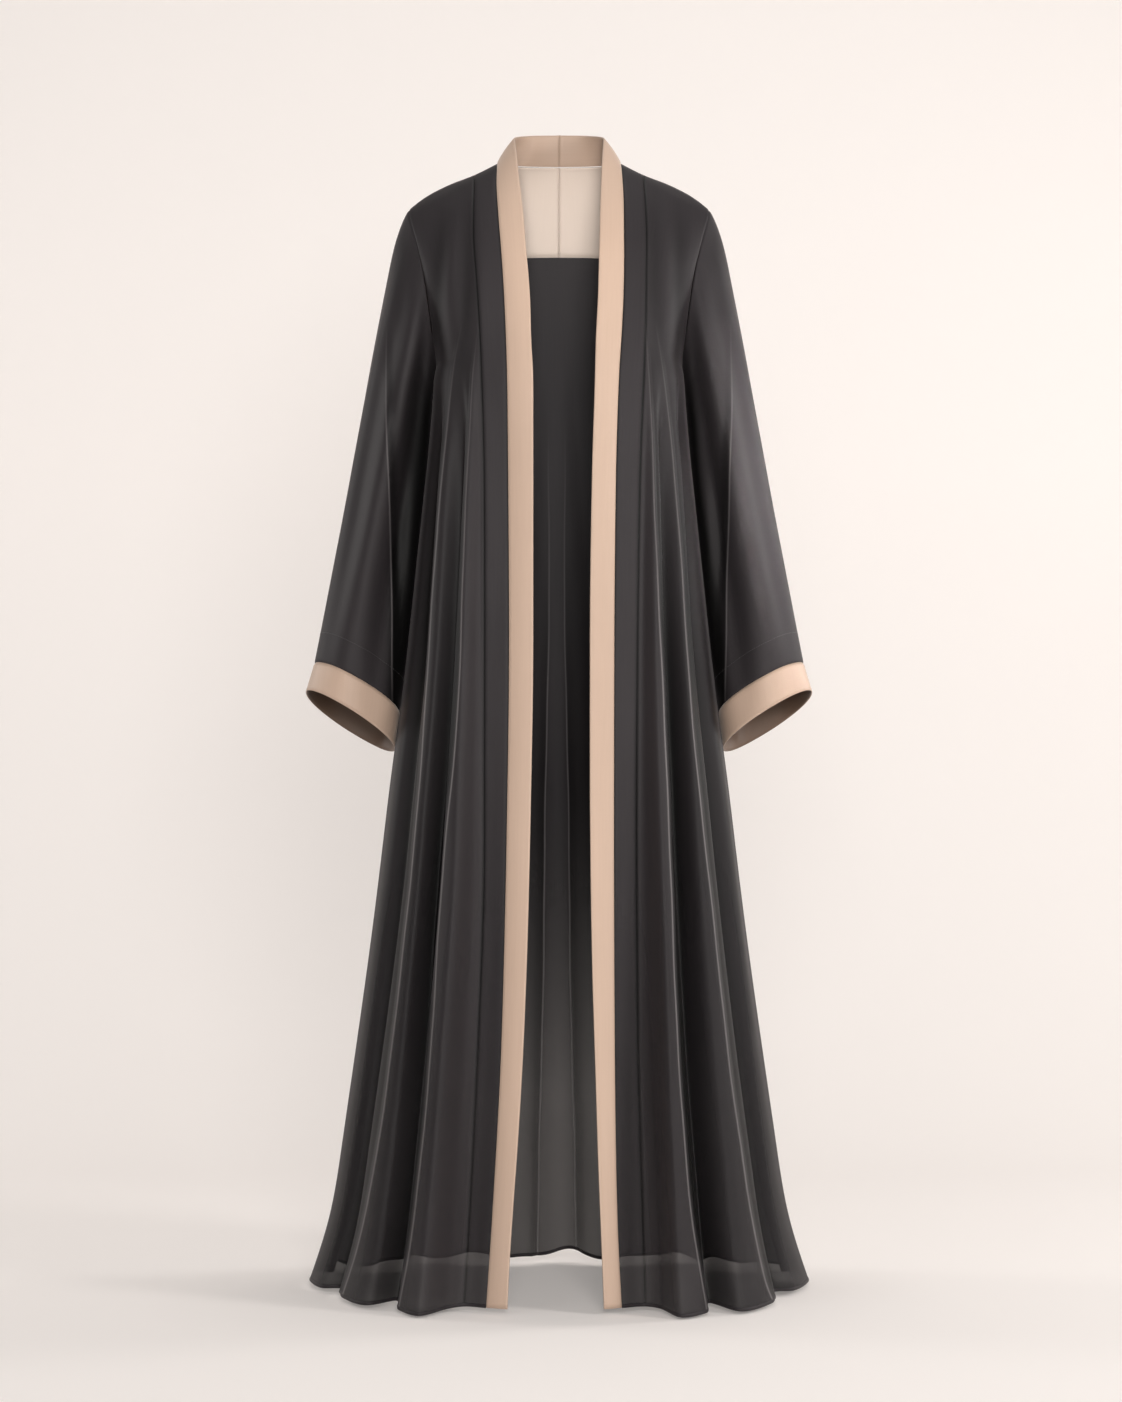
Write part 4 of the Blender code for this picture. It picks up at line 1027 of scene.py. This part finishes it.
# Thread: rows of short raised stitches, and lines that follow a piece.
stitching = {
    "pitch": 3.2,
    "length": 2.3,
    "width": 0.26,
    "sleeveLine": 38,  # from the sleeve's lower edge
    "sides": 6,
    # along half a stitch, then its share of the width, then how far it stands out or sinks in
    "rings": [(-1, 0.25, -0.9), (-0.55, 1, 0.2), (0, 1.1, 0.45), (0.55, 1, 0.2), (1, 0.25, -0.9)],
}


def lineAcross(grid, normals, distance, fromLast=False):
    # The line down a grid that stays this far in from its first or last column.
    run = alongRows(grid)
    run = run[:, -1:] - run if fromLast else run
    points, ways = [], []
    for r in range(len(grid)):
        order = np.argsort(run[r])
        points.append([np.interp(distance, run[r][order], grid[r, order, i]) for i in range(3)])
        ways.append([np.interp(distance, run[r][order], normals[r, order, i]) for i in range(3)])
    return np.array(points), unit(np.array(ways))


def lineDown(grid, normals, distance, fromLast=False):
    return lineAcross(grid.transpose(1, 0, 2), normals.transpose(1, 0, 2), distance, fromLast)


def stitchRuns(name, runs, material):
    # Each run is (points, outward ways, closed); every stitch is a short faceted thread.
    points, faces = [], []
    sidesRound, profile = stitching["sides"], stitching["rings"]
    half, width = stitching["length"] / 2, stitching["width"]
    pattern = [face[::-1] for face in tubeFaces(len(profile), sidesRound)]
    each = len(profile) * sidesRound
    for line, ways, closed in runs:
        if closed:
            line, ways = np.concatenate([line, line[:1]]), np.concatenate([ways, ways[:1]])
        run = np.concatenate([[0], np.cumsum(np.linalg.norm(np.diff(line, axis=0), axis=1))])
        count = int(run[-1] // stitching["pitch"])
        centres = (np.arange(count) + 0.5) * run[-1] / count

        def read(values, at):
            return np.stack([np.interp(at, run, values[:, i]) for i in range(3)], axis=1)

        start, middle, end = read(line, centres - half), read(line, centres), read(line, centres + half)
        lift = unit(read(ways, centres))
        along = unit(end - start)
        side = unit(np.cross(along, lift))
        base = len(points)
        rings = []
        for share, wide, high in profile:
            centre = middle + share * half * along + width * high * 0.5 * lift
            ring = []
            for j in range(sidesRound):
                angle = 2 * np.pi * j / sidesRound
                ring.append(centre + wide * width * (np.cos(angle) * side + 0.8 * np.sin(angle) * lift))
            rings.append(np.stack(ring, axis=1))
        block = np.stack(rings, axis=1).reshape(-1, 3)
        for n in range(count):
            at = base + n * each
            faces += [tuple(at + v for v in face) for face in pattern]
        points += block.tolist()
    return solidPiece(name, points, faces, material)


# Shader groups that several finishes share.
def newGroup(name, inputs, outputs):
    group = bpy.data.node_groups.new(name, "ShaderNodeTree")
    for label, kind, value in inputs:
        socket = group.interface.new_socket(name=label, in_out="INPUT", socket_type=kind)
        socket.default_value = value
    for label, kind in outputs:
        group.interface.new_socket(name=label, in_out="OUTPUT", socket_type=kind)
    return group, group.nodes.new("NodeGroupInput"), group.nodes.new("NodeGroupOutput")


def mathNode(tree, operation, a, b=None, c=None, clamp=False):
    node = tree.nodes.new("ShaderNodeMath")
    node.operation = operation
    node.use_clamp = clamp
    for i, value in enumerate((a, b, c)):
        if value is None:
            continue
        if isinstance(value, (int, float)):
            node.inputs[i].default_value = value
        else:
            tree.links.new(value, node.inputs[i])
    return node.outputs[0]


def weaveGroup():
    # Crossed yarns, uneven slubs and the pebbled crinkle of a twisted yarn, read along the cloth in metres.
    group, given, result = newGroup(
        "clothWeave",
        [
            ("Yarns per metre", "NodeSocketFloat", 1400.0),
            ("Crinkle size", "NodeSocketFloat", 0.0016),
            ("Crinkle", "NodeSocketFloat", 0.5),
            ("Slub", "NodeSocketFloat", 0.5),
        ],
        [("Height", "NodeSocketFloat"), ("Shade", "NodeSocketFloat"), ("Gap", "NodeSocketFloat")],
    )
    links = group.links
    uv = group.nodes.new("ShaderNodeUVMap")
    uv.uv_map = "cloth"
    parts = group.nodes.new("ShaderNodeSeparateXYZ")
    links.new(uv.outputs[0], parts.inputs[0])
    wobble = group.nodes.new("ShaderNodeTexNoise")
    wobble.inputs["Scale"].default_value = 90.0
    wobble.inputs["Detail"].default_value = 1.0
    links.new(uv.outputs[0], wobble.inputs["Vector"])
    turn = mathNode(group, "MULTIPLY", given.outputs["Yarns per metre"], 6.28318)
    bend = mathNode(group, "MULTIPLY", wobble.outputs["Fac"], 3.0)
    warp = mathNode(group, "SINE", mathNode(group, "MULTIPLY_ADD", parts.outputs[0], turn, bend))
    weft = mathNode(group, "SINE", mathNode(group, "MULTIPLY_ADD", parts.outputs[1], turn, bend))
    yarn = mathNode(group, "MULTIPLY_ADD", mathNode(group, "MULTIPLY", warp, weft), 0.5, 0.5)
    scale = mathNode(group, "DIVIDE", 1.0, given.outputs["Crinkle size"])
    pebble = group.nodes.new("ShaderNodeTexNoise")
    pebble.inputs["Detail"].default_value = 2.0
    pebble.inputs["Roughness"].default_value = 0.6
    links.new(uv.outputs[0], pebble.inputs["Vector"])
    links.new(scale, pebble.inputs["Scale"])
    stretch = group.nodes.new("ShaderNodeMapping")
    stretch.inputs["Scale"].default_value = (420.0, 14.0, 1.0)
    links.new(uv.outputs[0], stretch.inputs["Vector"])
    streak = group.nodes.new("ShaderNodeTexNoise")
    streak.inputs["Scale"].default_value = 1.0
    streak.inputs["Detail"].default_value = 2.0
    links.new(stretch.outputs[0], streak.inputs["Vector"])
    plain = mathNode(group, "MULTIPLY", yarn, mathNode(group, "SUBTRACT", 1.0, given.outputs["Crinkle"]))
    crinkled = mathNode(group, "MULTIPLY", pebble.outputs["Fac"], given.outputs["Crinkle"])
    height = mathNode(group, "ADD", plain, crinkled)
    uneven = mathNode(group, "SUBTRACT", streak.outputs["Fac"], 0.5)
    slub = mathNode(group, "MULTIPLY", uneven, given.outputs["Slub"])
    shade = mathNode(group, "ADD", mathNode(group, "MULTIPLY_ADD", height, 0.3, 0.35), slub, clamp=True)
    links.new(height, result.inputs["Height"])
    links.new(shade, result.inputs["Shade"])
    links.new(yarn, result.inputs["Gap"])
    return group


def mottleGroup():
    # Broad, faint unevenness of dye and handling.
    group, given, result = newGroup(
        "dyeMottle",
        [("Size", "NodeSocketFloat", 0.12), ("Amount", "NodeSocketFloat", 0.1)],
        [("Mask", "NodeSocketFloat")],
    )
    place = group.nodes.new("ShaderNodeTexCoord")
    cloud = group.nodes.new("ShaderNodeTexNoise")
    cloud.inputs["Detail"].default_value = 3.0
    group.links.new(place.outputs["Object"], cloud.inputs["Vector"])
    group.links.new(mathNode(group, "DIVIDE", 1.0, given.outputs["Size"]), cloud.inputs["Scale"])
    uneven = mathNode(group, "SUBTRACT", cloud.outputs["Fac"], 0.5)
    mask = mathNode(group, "MULTIPLY_ADD", uneven, given.outputs["Amount"], 0.5, clamp=True)
    group.links.new(mask, result.inputs["Mask"])
    return group


def foldGroup():
    # Painted highlight and shade: a thin lit line on a fold's edge and the dark just beyond it, from how far
    # off the edge is.
    group, given, result = newGroup(
        "foldEdge",
        [
            ("Gap", "NodeSocketFloat", 0.0),
            ("Line width", "NodeSocketFloat", 0.9),
            ("Fade", "NodeSocketFloat", 17.0),
        ],
        [("Bright", "NodeSocketFloat"), ("Dark", "NodeSocketFloat")],
    )
    reach = creaseShape["lineReach"]
    gap = mathNode(group, "MULTIPLY_ADD", given.outputs["Gap"], reach, -reach / 2)
    near = mathNode(group, "DIVIDE", mathNode(group, "ADD", gap, 0.9), given.outputs["Line width"])
    squared = mathNode(group, "MULTIPLY", near, near)
    bright = mathNode(group, "EXPONENT", mathNode(group, "MULTIPLY", squared, -1.0))
    past = mathNode(group, "MAXIMUM", gap, 0.0)
    share = mathNode(group, "DIVIDE", past, given.outputs["Fade"])
    fading = mathNode(group, "EXPONENT", mathNode(group, "MULTIPLY", share, -1.0))
    dark = mathNode(group, "MULTIPLY", mathNode(group, "MULTIPLY", past, 0.9, clamp=True), fading)
    group.links.new(bright, result.inputs["Bright"])
    group.links.new(dark, result.inputs["Dark"])
    return group


weave, mottle, foldEdge = weaveGroup(), mottleGroup(), foldGroup()


def useGroup(tree, group, values=()):
    node = tree.nodes.new("ShaderNodeGroup")
    node.node_tree = group
    for label in values:
        node.inputs[label].default_value = values[label]
    return node


def wovenMask(tree, look):
    # Where the cloth takes its lighter colour: the weave, and broad unevenness of the dye.
    woven, dye = useGroup(tree, weave, look["weave"]), useGroup(tree, mottle, look["dye"])
    uneven = mathNode(tree, "SUBTRACT", dye.outputs["Mask"], 0.5)
    return woven, mathNode(tree, "ADD", woven.outputs["Shade"], uneven, clamp=True)


def attributeNode(tree, name):
    node = tree.nodes.new("ShaderNodeAttribute")
    node.attribute_name = name
    return node


def colourBetween(tree, mask, dark, light):
    node = tree.nodes.new("ShaderNodeMix")
    node.data_type = "RGBA"
    tree.links.new(mask, node.inputs["Factor"])
    for socket, colour in (("A", dark), ("B", light)):
        if isinstance(colour, tuple):
            node.inputs[socket].default_value = (*colour, 1)
        else:
            tree.links.new(colour, node.inputs[socket])
    return node.outputs["Result"]


def newMaterial(name, look):
    material = bpy.data.materials.new(name)
    material.use_nodes = True
    shader = material.node_tree.nodes["Principled BSDF"]
    shader.inputs["Roughness"].default_value = look["roughness"]
    shader.inputs["Specular IOR Level"].default_value = look["specular"]
    sheen, spreadOut = look["sheen"]
    shader.inputs["Sheen Weight"].default_value = sheen
    shader.inputs["Sheen Roughness"].default_value = spreadOut
    shader.inputs["Sheen Tint"].default_value = (*look["sheenTint"], 1)
    return material, material.node_tree, shader


def bumpInto(tree, shader, height, strength):
    bump = tree.nodes.new("ShaderNodeBump")
    bump.inputs["Strength"].default_value = strength
    bump.inputs["Distance"].default_value = 0.0002
    tree.links.new(height, bump.inputs["Height"])
    tree.links.new(bump.outputs[0], shader.inputs["Normal"])


# The cloak's finishes.
georgetteLook = {
    "dark": (0.015, 0.0128, 0.0139),
    "light": (0.042, 0.0358, 0.0388),
    "deep": (0.0012, 0.001, 0.001),  # painted shade inside folds and beside the arms; also the dark seam lines
    "crest": (0.16, 0.148, 0.15),  # painted highlight along the fold edges
    "roughness": 0.6,
    "specular": 0.28,
    "sheen": (0.09, 0.3),  # how much, and how rough
    "sheenTint": (0.80, 0.74, 0.76),
    "weave": {"Yarns per metre": 1500.0, "Crinkle size": 0.0014, "Crinkle": 0.4, "Slub": 0.22},
    "dye": {"Size": 0.16, "Amount": 0.35},
    "bump": 0.08,
    "seeThrough": 0.30,  # how much one face lets by when looked at squarely, near the hem
    "hemThrough": 0.35,  # the share of that which the rolled hem lets by
    "edgeSolid": 0.75,  # how much of it closes at a slant
    "closedAbove": (-0.75, 0.45),  # height in m where cloth starts to let light by, and over how much
    # strengths of the painted shade in folds and just beyond fold edges, and of the painted highlight on
    # those edges
    "foldDark": 1.0,
    "edgeDark": 0.85,
    "foldLight": 1.0,
}


def georgetteMaterial(name, through):
    look = georgetteLook
    material, tree, shader = newMaterial(name, look)
    woven, mask = wovenMask(tree, look)
    fold, edges = attributeNode(tree, "foldShade"), attributeNode(tree, "foldEdges")
    clothColour = colourBetween(tree, mask, look["dark"], look["light"])
    channels = tree.nodes.new("ShaderNodeSeparateColor")
    tree.links.new(edges.outputs["Color"], channels.inputs[0])
    # painted highlight along each fold's edge, and painted shade just beyond it
    bright, dark = 0.0, 0.0
    for channel in channels.outputs:
        ridge = useGroup(tree, foldEdge)
        tree.links.new(channel, ridge.inputs["Gap"])
        bright = mathNode(tree, "MAXIMUM", ridge.outputs["Bright"], bright)
        dark = mathNode(tree, "MAXIMUM", ridge.outputs["Dark"], dark)
    lit = mathNode(tree, "MULTIPLY", bright, edges.outputs["Alpha"])
    lit = mathNode(tree, "MULTIPLY", lit, look["foldLight"], clamp=True)
    beyond = mathNode(tree, "MULTIPLY", dark, edges.outputs["Alpha"])
    beyond = mathNode(tree, "MULTIPLY", beyond, look["edgeDark"])
    # painted shade from the foldShade attribute and from beyond the fold edges, mixed into the cloth's colour
    deep = mathNode(tree, "MULTIPLY_ADD", fold.outputs["Fac"], look["foldDark"], beyond, clamp=True)
    clothColour = colourBetween(tree, deep, clothColour, look["deep"])
    # the painted highlight on fold edges goes over the cloth's colour
    tree.links.new(colourBetween(tree, lit, clothColour, look["crest"]), shader.inputs["Base Color"])
    # how much light the cloth lets by: more squarely, between the yarns and near the hem
    facing = tree.nodes.new("ShaderNodeLayerWeight")
    facing.inputs["Blend"].default_value = 0.5
    square = mathNode(tree, "MULTIPLY_ADD", facing.outputs["Facing"], -look["edgeSolid"], 1.0, clamp=True)
    gap = mathNode(tree, "MULTIPLY_ADD", woven.outputs["Gap"], 0.3, 0.85)
    place = tree.nodes.new("ShaderNodeTexCoord")
    parts = tree.nodes.new("ShaderNodeSeparateXYZ")
    tree.links.new(place.outputs["Object"], parts.inputs[0])
    start, over = look["closedAbove"]
    lower = mathNode(tree, "MULTIPLY_ADD", parts.outputs[2], -1 / over, start / over, clamp=True)
    let = mathNode(tree, "MULTIPLY", mathNode(tree, "MULTIPLY", square, gap), look["seeThrough"] * through)
    let = mathNode(tree, "MULTIPLY", let, lower)
    tree.links.new(mathNode(tree, "SUBTRACT", 1.0, let, clamp=True), shader.inputs["Alpha"])
    bumpInto(tree, shader, woven.outputs["Height"], look["bump"])
    return material


crepeLook = {
    "dark": (0.52, 0.372, 0.282),
    "light": (0.66, 0.488, 0.378),
    "inside": (0.115, 0.07, 0.047),  # painted shade on the inner cloth
    "roughness": 0.5,
    "specular": 0.4,
    "sheen": (0.25, 0.4),
    "sheenTint": (1.0, 0.92, 0.85),
    "weave": {"Yarns per metre": 1700.0, "Crinkle size": 0.0012, "Crinkle": 0.45, "Slub": 0.3},
    "dye": {"Size": 0.2, "Amount": 0.4},
    "bump": 0.12,
}
facingLook = {**crepeLook, "dark": (0.84, 0.70, 0.60), "light": (0.93, 0.80, 0.70), "roughness": 0.6}


def crepeMaterial(name, look):
    material, tree, shader = newMaterial(name, look)
    woven, mask = wovenMask(tree, look)
    fold = attributeNode(tree, "foldShade")
    clothColour = colourBetween(tree, mask, look["dark"], look["light"])
    # painted shade on the inner cloth of bands and cuffs
    shaded = colourBetween(tree, fold.outputs["Fac"], clothColour, look["inside"])
    tree.links.new(shaded, shader.inputs["Base Color"])
    bumpInto(tree, shader, woven.outputs["Height"], look["bump"])
    return material


threadLook = {
    "charcoal": ((0.012, 0.011, 0.012), (0.04, 0.036, 0.037)),
    "tan": ((0.48, 0.34, 0.25), (0.60, 0.44, 0.335)),
    "roughness": 0.45,
    "specular": 0.5,
    "sheen": (0.3, 0.4),
    "sheenTint": (1, 1, 1),
    "twist": 900.0,
    "bump": 0.4,
}


def threadMaterial(colour):
    look = threadLook
    material, tree, shader = newMaterial(colour + "Thread", look)
    place = tree.nodes.new("ShaderNodeTexCoord")
    twist = tree.nodes.new("ShaderNodeTexNoise")
    twist.inputs["Scale"].default_value = look["twist"]
    tree.links.new(place.outputs["Object"], twist.inputs["Vector"])
    tree.links.new(colourBetween(tree, twist.outputs["Fac"], *look[colour]), shader.inputs["Base Color"])
    bumpInto(tree, shader, twist.outputs["Fac"], look["bump"])
    return material


charcoal = georgetteMaterial("charcoalGeorgette", 1.0)
charcoalHem = georgetteMaterial("charcoalRolledHem", georgetteLook["hemThrough"])
tan = crepeMaterial("tanCrepe", crepeLook)
beige = crepeMaterial("beigeFacing", facingLook)
darkThread, tanThread = threadMaterial("charcoal"), threadMaterial("tan")
print("finishes: made")


# Cutting the pieces out of the grids.
clothPieces = {}


def cutPiece(name, grid, normals, edges, thickness, material, **more):
    shaped = seamTurned(grid, normals, edges)
    clothPieces[name] = cloth(name, shaped, normals, thickness, material, **more)


sewnEdges = ["first", "last", "top"]
stripEnd = frontShape["stripColumns"]
for side in sides:
    grid, normals = fronts[side], frontNormals[side]
    for name, part in (("strip_", slice(0, stripEnd + 1)), ("front_", slice(stripEnd, None))):
        cutPiece(name + side, grid[:, part], normals[:, part], sewnEdges, frontShape["cloth"], charcoal,
                 shade=shades["front_" + side][:, part], lines=ridges["front_" + side][:, part])
cutPiece("back", back, backNormals, sewnEdges, backShape["cloth"], charcoal,
         shade=shades["back"], lines=ridges["back"])

facingShape = {
    "lowerEdge": -108,  # height at the centre back
    "columnsOut": 12,  # how far it goes along the shoulder, in columns of the back
    "cloth": 0.7,
    "inside": 1.4,  # how far inside the back it lies
    "seamTurn": 0.6,
}
facingRows = int(np.argmin(np.abs(back[:, middleColumn, 2] - facingShape["lowerEdge"])))
for side in sides:
    used = np.arange(shoulderColumn - facingShape["columnsOut"], middleColumn + 1)
    if side == "right":
        used = back.shape[1] - 1 - used
    skin, skinN = back[: facingRows + 1][:, used], backNormals[: facingRows + 1][:, used]
    skin = skin - facingShape["inside"] * skinN
    skin = seamTurned(skin, -skinN * facingShape["seamTurn"], ["last"])
    name = "neck_facing_" + side
    clothPieces[name] = cloth(name, skin, skinN, facingShape["cloth"], beige)

bandGrids = {}
for side in sides:
    neck = np.arange(middleColumn, shoulderColumn, -1)
    if side == "right":
        neck = back.shape[1] - 1 - neck
    share = np.arange(len(neck)) / len(neck)
    neckTop = mirrored(smoothTable(keyed(bandShape["neckTop"]), share), side)
    tops = np.concatenate([neckTop, freeEdges[side]])
    seam = np.concatenate([back[0, neck], fronts[side][:, 0]])
    across = np.concatenate([spread(bandShape["columns"], 0.9), [1.0]])[None, :, None]
    grid = seam[:, None] * (1 - across) + tops[:, None] * across
    gridN = outward(grid, gridNormals(grid))
    gridN[0] = unit(gridN[0] * (0, 1, 1))
    grid = grid + bandShape["crown"] * np.sin(np.pi * across) * gridN
    bandGrids[side] = grid, gridN
    cutPiece("band_" + side, grid, gridN, ["first", "top"], bandShape["cloth"], tan,
             shade=0 * grid[..., 0], within=bandShape["neckInside"])

cuffStart = sleeveShape["steps"]
for side in sides:
    grid, normals = sleeves[side], sleeveNormals[side]
    part = slice(0, cuffStart + 1)
    cutPiece("sleeve_" + side, grid[part], normals[part], ["top", "bottom"], sleeveShape["cloth"], charcoal,
             ring=True, shade=shades["sleeve_" + side][part], lines=ridges["sleeve_" + side][part])
    cuff, cuffN = grid[cuffStart:], normals[cuffStart:]
    cutPiece("cuff_" + side, cuff, cuffN, ["top"], sleeveShape["cuffCloth"], tan,
             ring=True, shade=0 * cuff[..., 0], within=sleeveShape["cuffInside"])
print("cloth: cut and shaped")


# Hems and stitches.
trims = {name: [] for name in clothPieces}
inset = bandShape["stitchInset"]
for side in sides:
    title = side.capitalize()
    hem = rolledHem("hemFront" + title, fronts[side], frontNormals[side], frontShape["cloth"])
    trims["front_" + side].append(hem)
    grid, normals = bandGrids[side]
    neckRows = middleColumn - shoulderColumn
    rows = [(*lineAcross(grid[:neckRows], normals[:neckRows], inset), False)]
    rows.append((*lineAcross(grid, normals, inset, True), False))
    trims["band_" + side].append(stitchRuns("bandStitches" + title, rows, tanThread))
    grid, normals = sleeves[side], sleeveNormals[side]
    cuff, cuffN = grid[cuffStart:], normals[cuffStart:]
    rows = [(*lineDown(cuff, cuffN, inset, last), True) for last in (False, True)]
    trims["cuff_" + side].append(stitchRuns("cuffStitches" + title, rows, tanThread))
    part = slice(0, cuffStart + 1)
    rows = [(*lineDown(grid[part], normals[part], stitching["sleeveLine"], True), True)]
    row = stitchRuns("sleeveStitches" + title, rows, darkThread)
    trims["sleeve_" + side].append(row)
trims["back"].append(rolledHem("hemBack", back, backNormals, backShape["cloth"]))
print("trims: hems and stitches made")

# each piece hangs from the root, and the frame's part of the same name is hidden
for name, piece in clothPieces.items():
    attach(piece, "root")
    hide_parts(name)

# Studio: pale floor and backdrop, soft lights, camera about halfway down the cloak.
studio = {
    "floorHeight": -1.4275,
    "floorColour": (0.78, 0.738, 0.71),
    "paper": {"roughness": 0.9, "specular": 0.1, "sheen": (0, 0.5), "sheenTint": (1, 1, 1)},
    "glow": (0.905, 0.85, 0.815),
    "glowSeen": 0.28,  # by the camera
    "glowGiven": 0.07,  # to the cloak
    "floorLess": 0.2,  # how much less the floor glows than the backdrop
    "floorOver": 1.6,  # height in m over which that ends
    "sweep": {"front": -6.0, "bend": 1.2, "high": 6.0, "halfWide": 7.0, "steps": 16},
    "world": (1.0, 0.975, 0.95),
    "worldStrength": 0.12,
    # place, what it is turned to, size, watts, spread in degrees, colour
    "lights": {
        "keyRight": ((3.1, -2.0, 0.2), (0, 0, -0.55), 0.9, 50, 180, (1.0, 0.97, 0.95)),
        "front": ((0.25, -4.5, 0.1), (0, 0, -0.55), 1.2, 108, 180, (1.0, 0.98, 0.96)),
        "fillLeft": ((-2.3, -3.2, 0.2), (0, 0, -0.55), 1.5, 8, 180, (0.98, 0.98, 1.0)),
        "rimRight": ((2.6, 0.9, 0.0), (0, 0, -0.55), 0.9, 26, 180, (1.0, 0.98, 0.96)),
        "rimLeft": ((-2.6, 0.8, 0.0), (0, 0, -0.55), 0.9, 18, 180, (1.0, 0.98, 0.96)),
        "top": ((0.1, 0.1, 2.3), (0, 0, -0.55), 0.9, 18, 180, (1.0, 0.98, 0.96)),
        "sleeveRight": ((3.2, -2.0, -0.2), (0.43, 0, -0.38), 0.3, 0.8, 7.5, (1.0, 0.98, 0.97)),
        "neckline": ((0, -1.5, -0.75), (0, 0.05, -0.06), 0.2, 0.045, 12, (1.0, 0.96, 0.92)),
    },
    "cameraPlace": (eye["aside"] / 1000, -eye["away"] / 1000, eye["height"] / 1000),
    "lens": 99.22,
}


def studioSweep():
    shape = studio["sweep"]
    bend = shape["bend"]
    profile = [(shape["front"], 0.0), (bend, 0.0)]
    for i in range(1, shape["steps"] + 1):
        angle = np.pi / 2 * i / shape["steps"]
        profile.append((bend + bend * np.sin(angle), bend * (1 - np.cos(angle))))
    profile.append((2 * bend, shape["high"]))
    points, faces = [], []
    for y, z in profile:
        points += [(x, y, z + studio["floorHeight"]) for x in (-shape["halfWide"], shape["halfWide"])]
    for i in range(len(profile) - 1):
        faces.append((2 * i, 2 * i + 1, 2 * i + 3, 2 * i + 2))
    mesh = bpy.data.meshes.new("studioSweep")
    mesh.from_pydata(points, [], faces)
    mesh.polygons.foreach_set("use_smooth", np.ones(len(faces), bool))
    sweep = bpy.data.objects.new("studioSweep", mesh)
    bpy.context.scene.collection.objects.link(sweep)
    material, tree, shader = newMaterial("palePaper", studio["paper"])
    shader.inputs["Base Color"].default_value = (*studio["floorColour"], 1)
    shader.inputs["Emission Color"].default_value = (*studio["glow"], 1)
    path = tree.nodes.new("ShaderNodeLightPath")
    seen, given = studio["glowSeen"], studio["glowGiven"]
    glow = mathNode(tree, "MULTIPLY_ADD", path.outputs["Is Camera Ray"], seen - given, given)
    parts = tree.nodes.new("ShaderNodeSeparateXYZ")
    place = tree.nodes.new("ShaderNodeTexCoord")
    tree.links.new(place.outputs["Object"], parts.inputs[0])
    low, over = studio["floorHeight"], studio["floorOver"]
    raised = mathNode(tree, "MULTIPLY_ADD", parts.outputs[2], 1 / over, -low / over, clamp=True)
    lift = mathNode(tree, "MULTIPLY_ADD", raised, studio["floorLess"], 1 - studio["floorLess"])
    tree.links.new(mathNode(tree, "MULTIPLY", glow, lift), shader.inputs["Emission Strength"])
    # from behind or below the sweep is clear, so that it never hides the cloak
    side = tree.nodes.new("ShaderNodeNewGeometry")
    tree.links.new(mathNode(tree, "SUBTRACT", 1.0, side.outputs["Backfacing"]), shader.inputs["Alpha"])
    mesh.materials.append(material)


def studioLights():
    for name, (place, aim, size, watts, spreadOut, colour) in studio["lights"].items():
        light = bpy.data.lights.new(name, "AREA")
        light.shape, light.size, light.energy, light.color = "DISK", size, watts, colour
        light.spread = np.radians(spreadOut)
        lamp = bpy.data.objects.new(name, light)
        lamp.location = place
        lamp.rotation_euler = (Vector(aim) - Vector(place)).to_track_quat("-Z", "Y").to_euler()
        bpy.context.scene.collection.objects.link(lamp)
    world = bpy.data.worlds.new("studioAir")
    bpy.context.scene.world = world
    world.use_nodes = True
    air = world.node_tree.nodes["Background"]
    air.inputs["Color"].default_value = (*studio["world"], 1)
    air.inputs["Strength"].default_value = studio["worldStrength"]


def studioCamera():
    lens = bpy.data.cameras.new("studioCamera")
    lens.lens, lens.sensor_width, lens.sensor_fit = studio["lens"], 36.0, "AUTO"
    lens.clip_end = 60.0
    camera = bpy.data.objects.new("studioCamera", lens)
    camera.location = studio["cameraPlace"]
    camera.rotation_euler = (np.pi / 2, 0, 0)
    bpy.context.scene.collection.objects.link(camera)
    bpy.context.scene.camera = camera


studioSweep()
studioLights()
studioCamera()
bpy.context.scene.view_settings.view_transform = "Standard"
print("studio: ready")
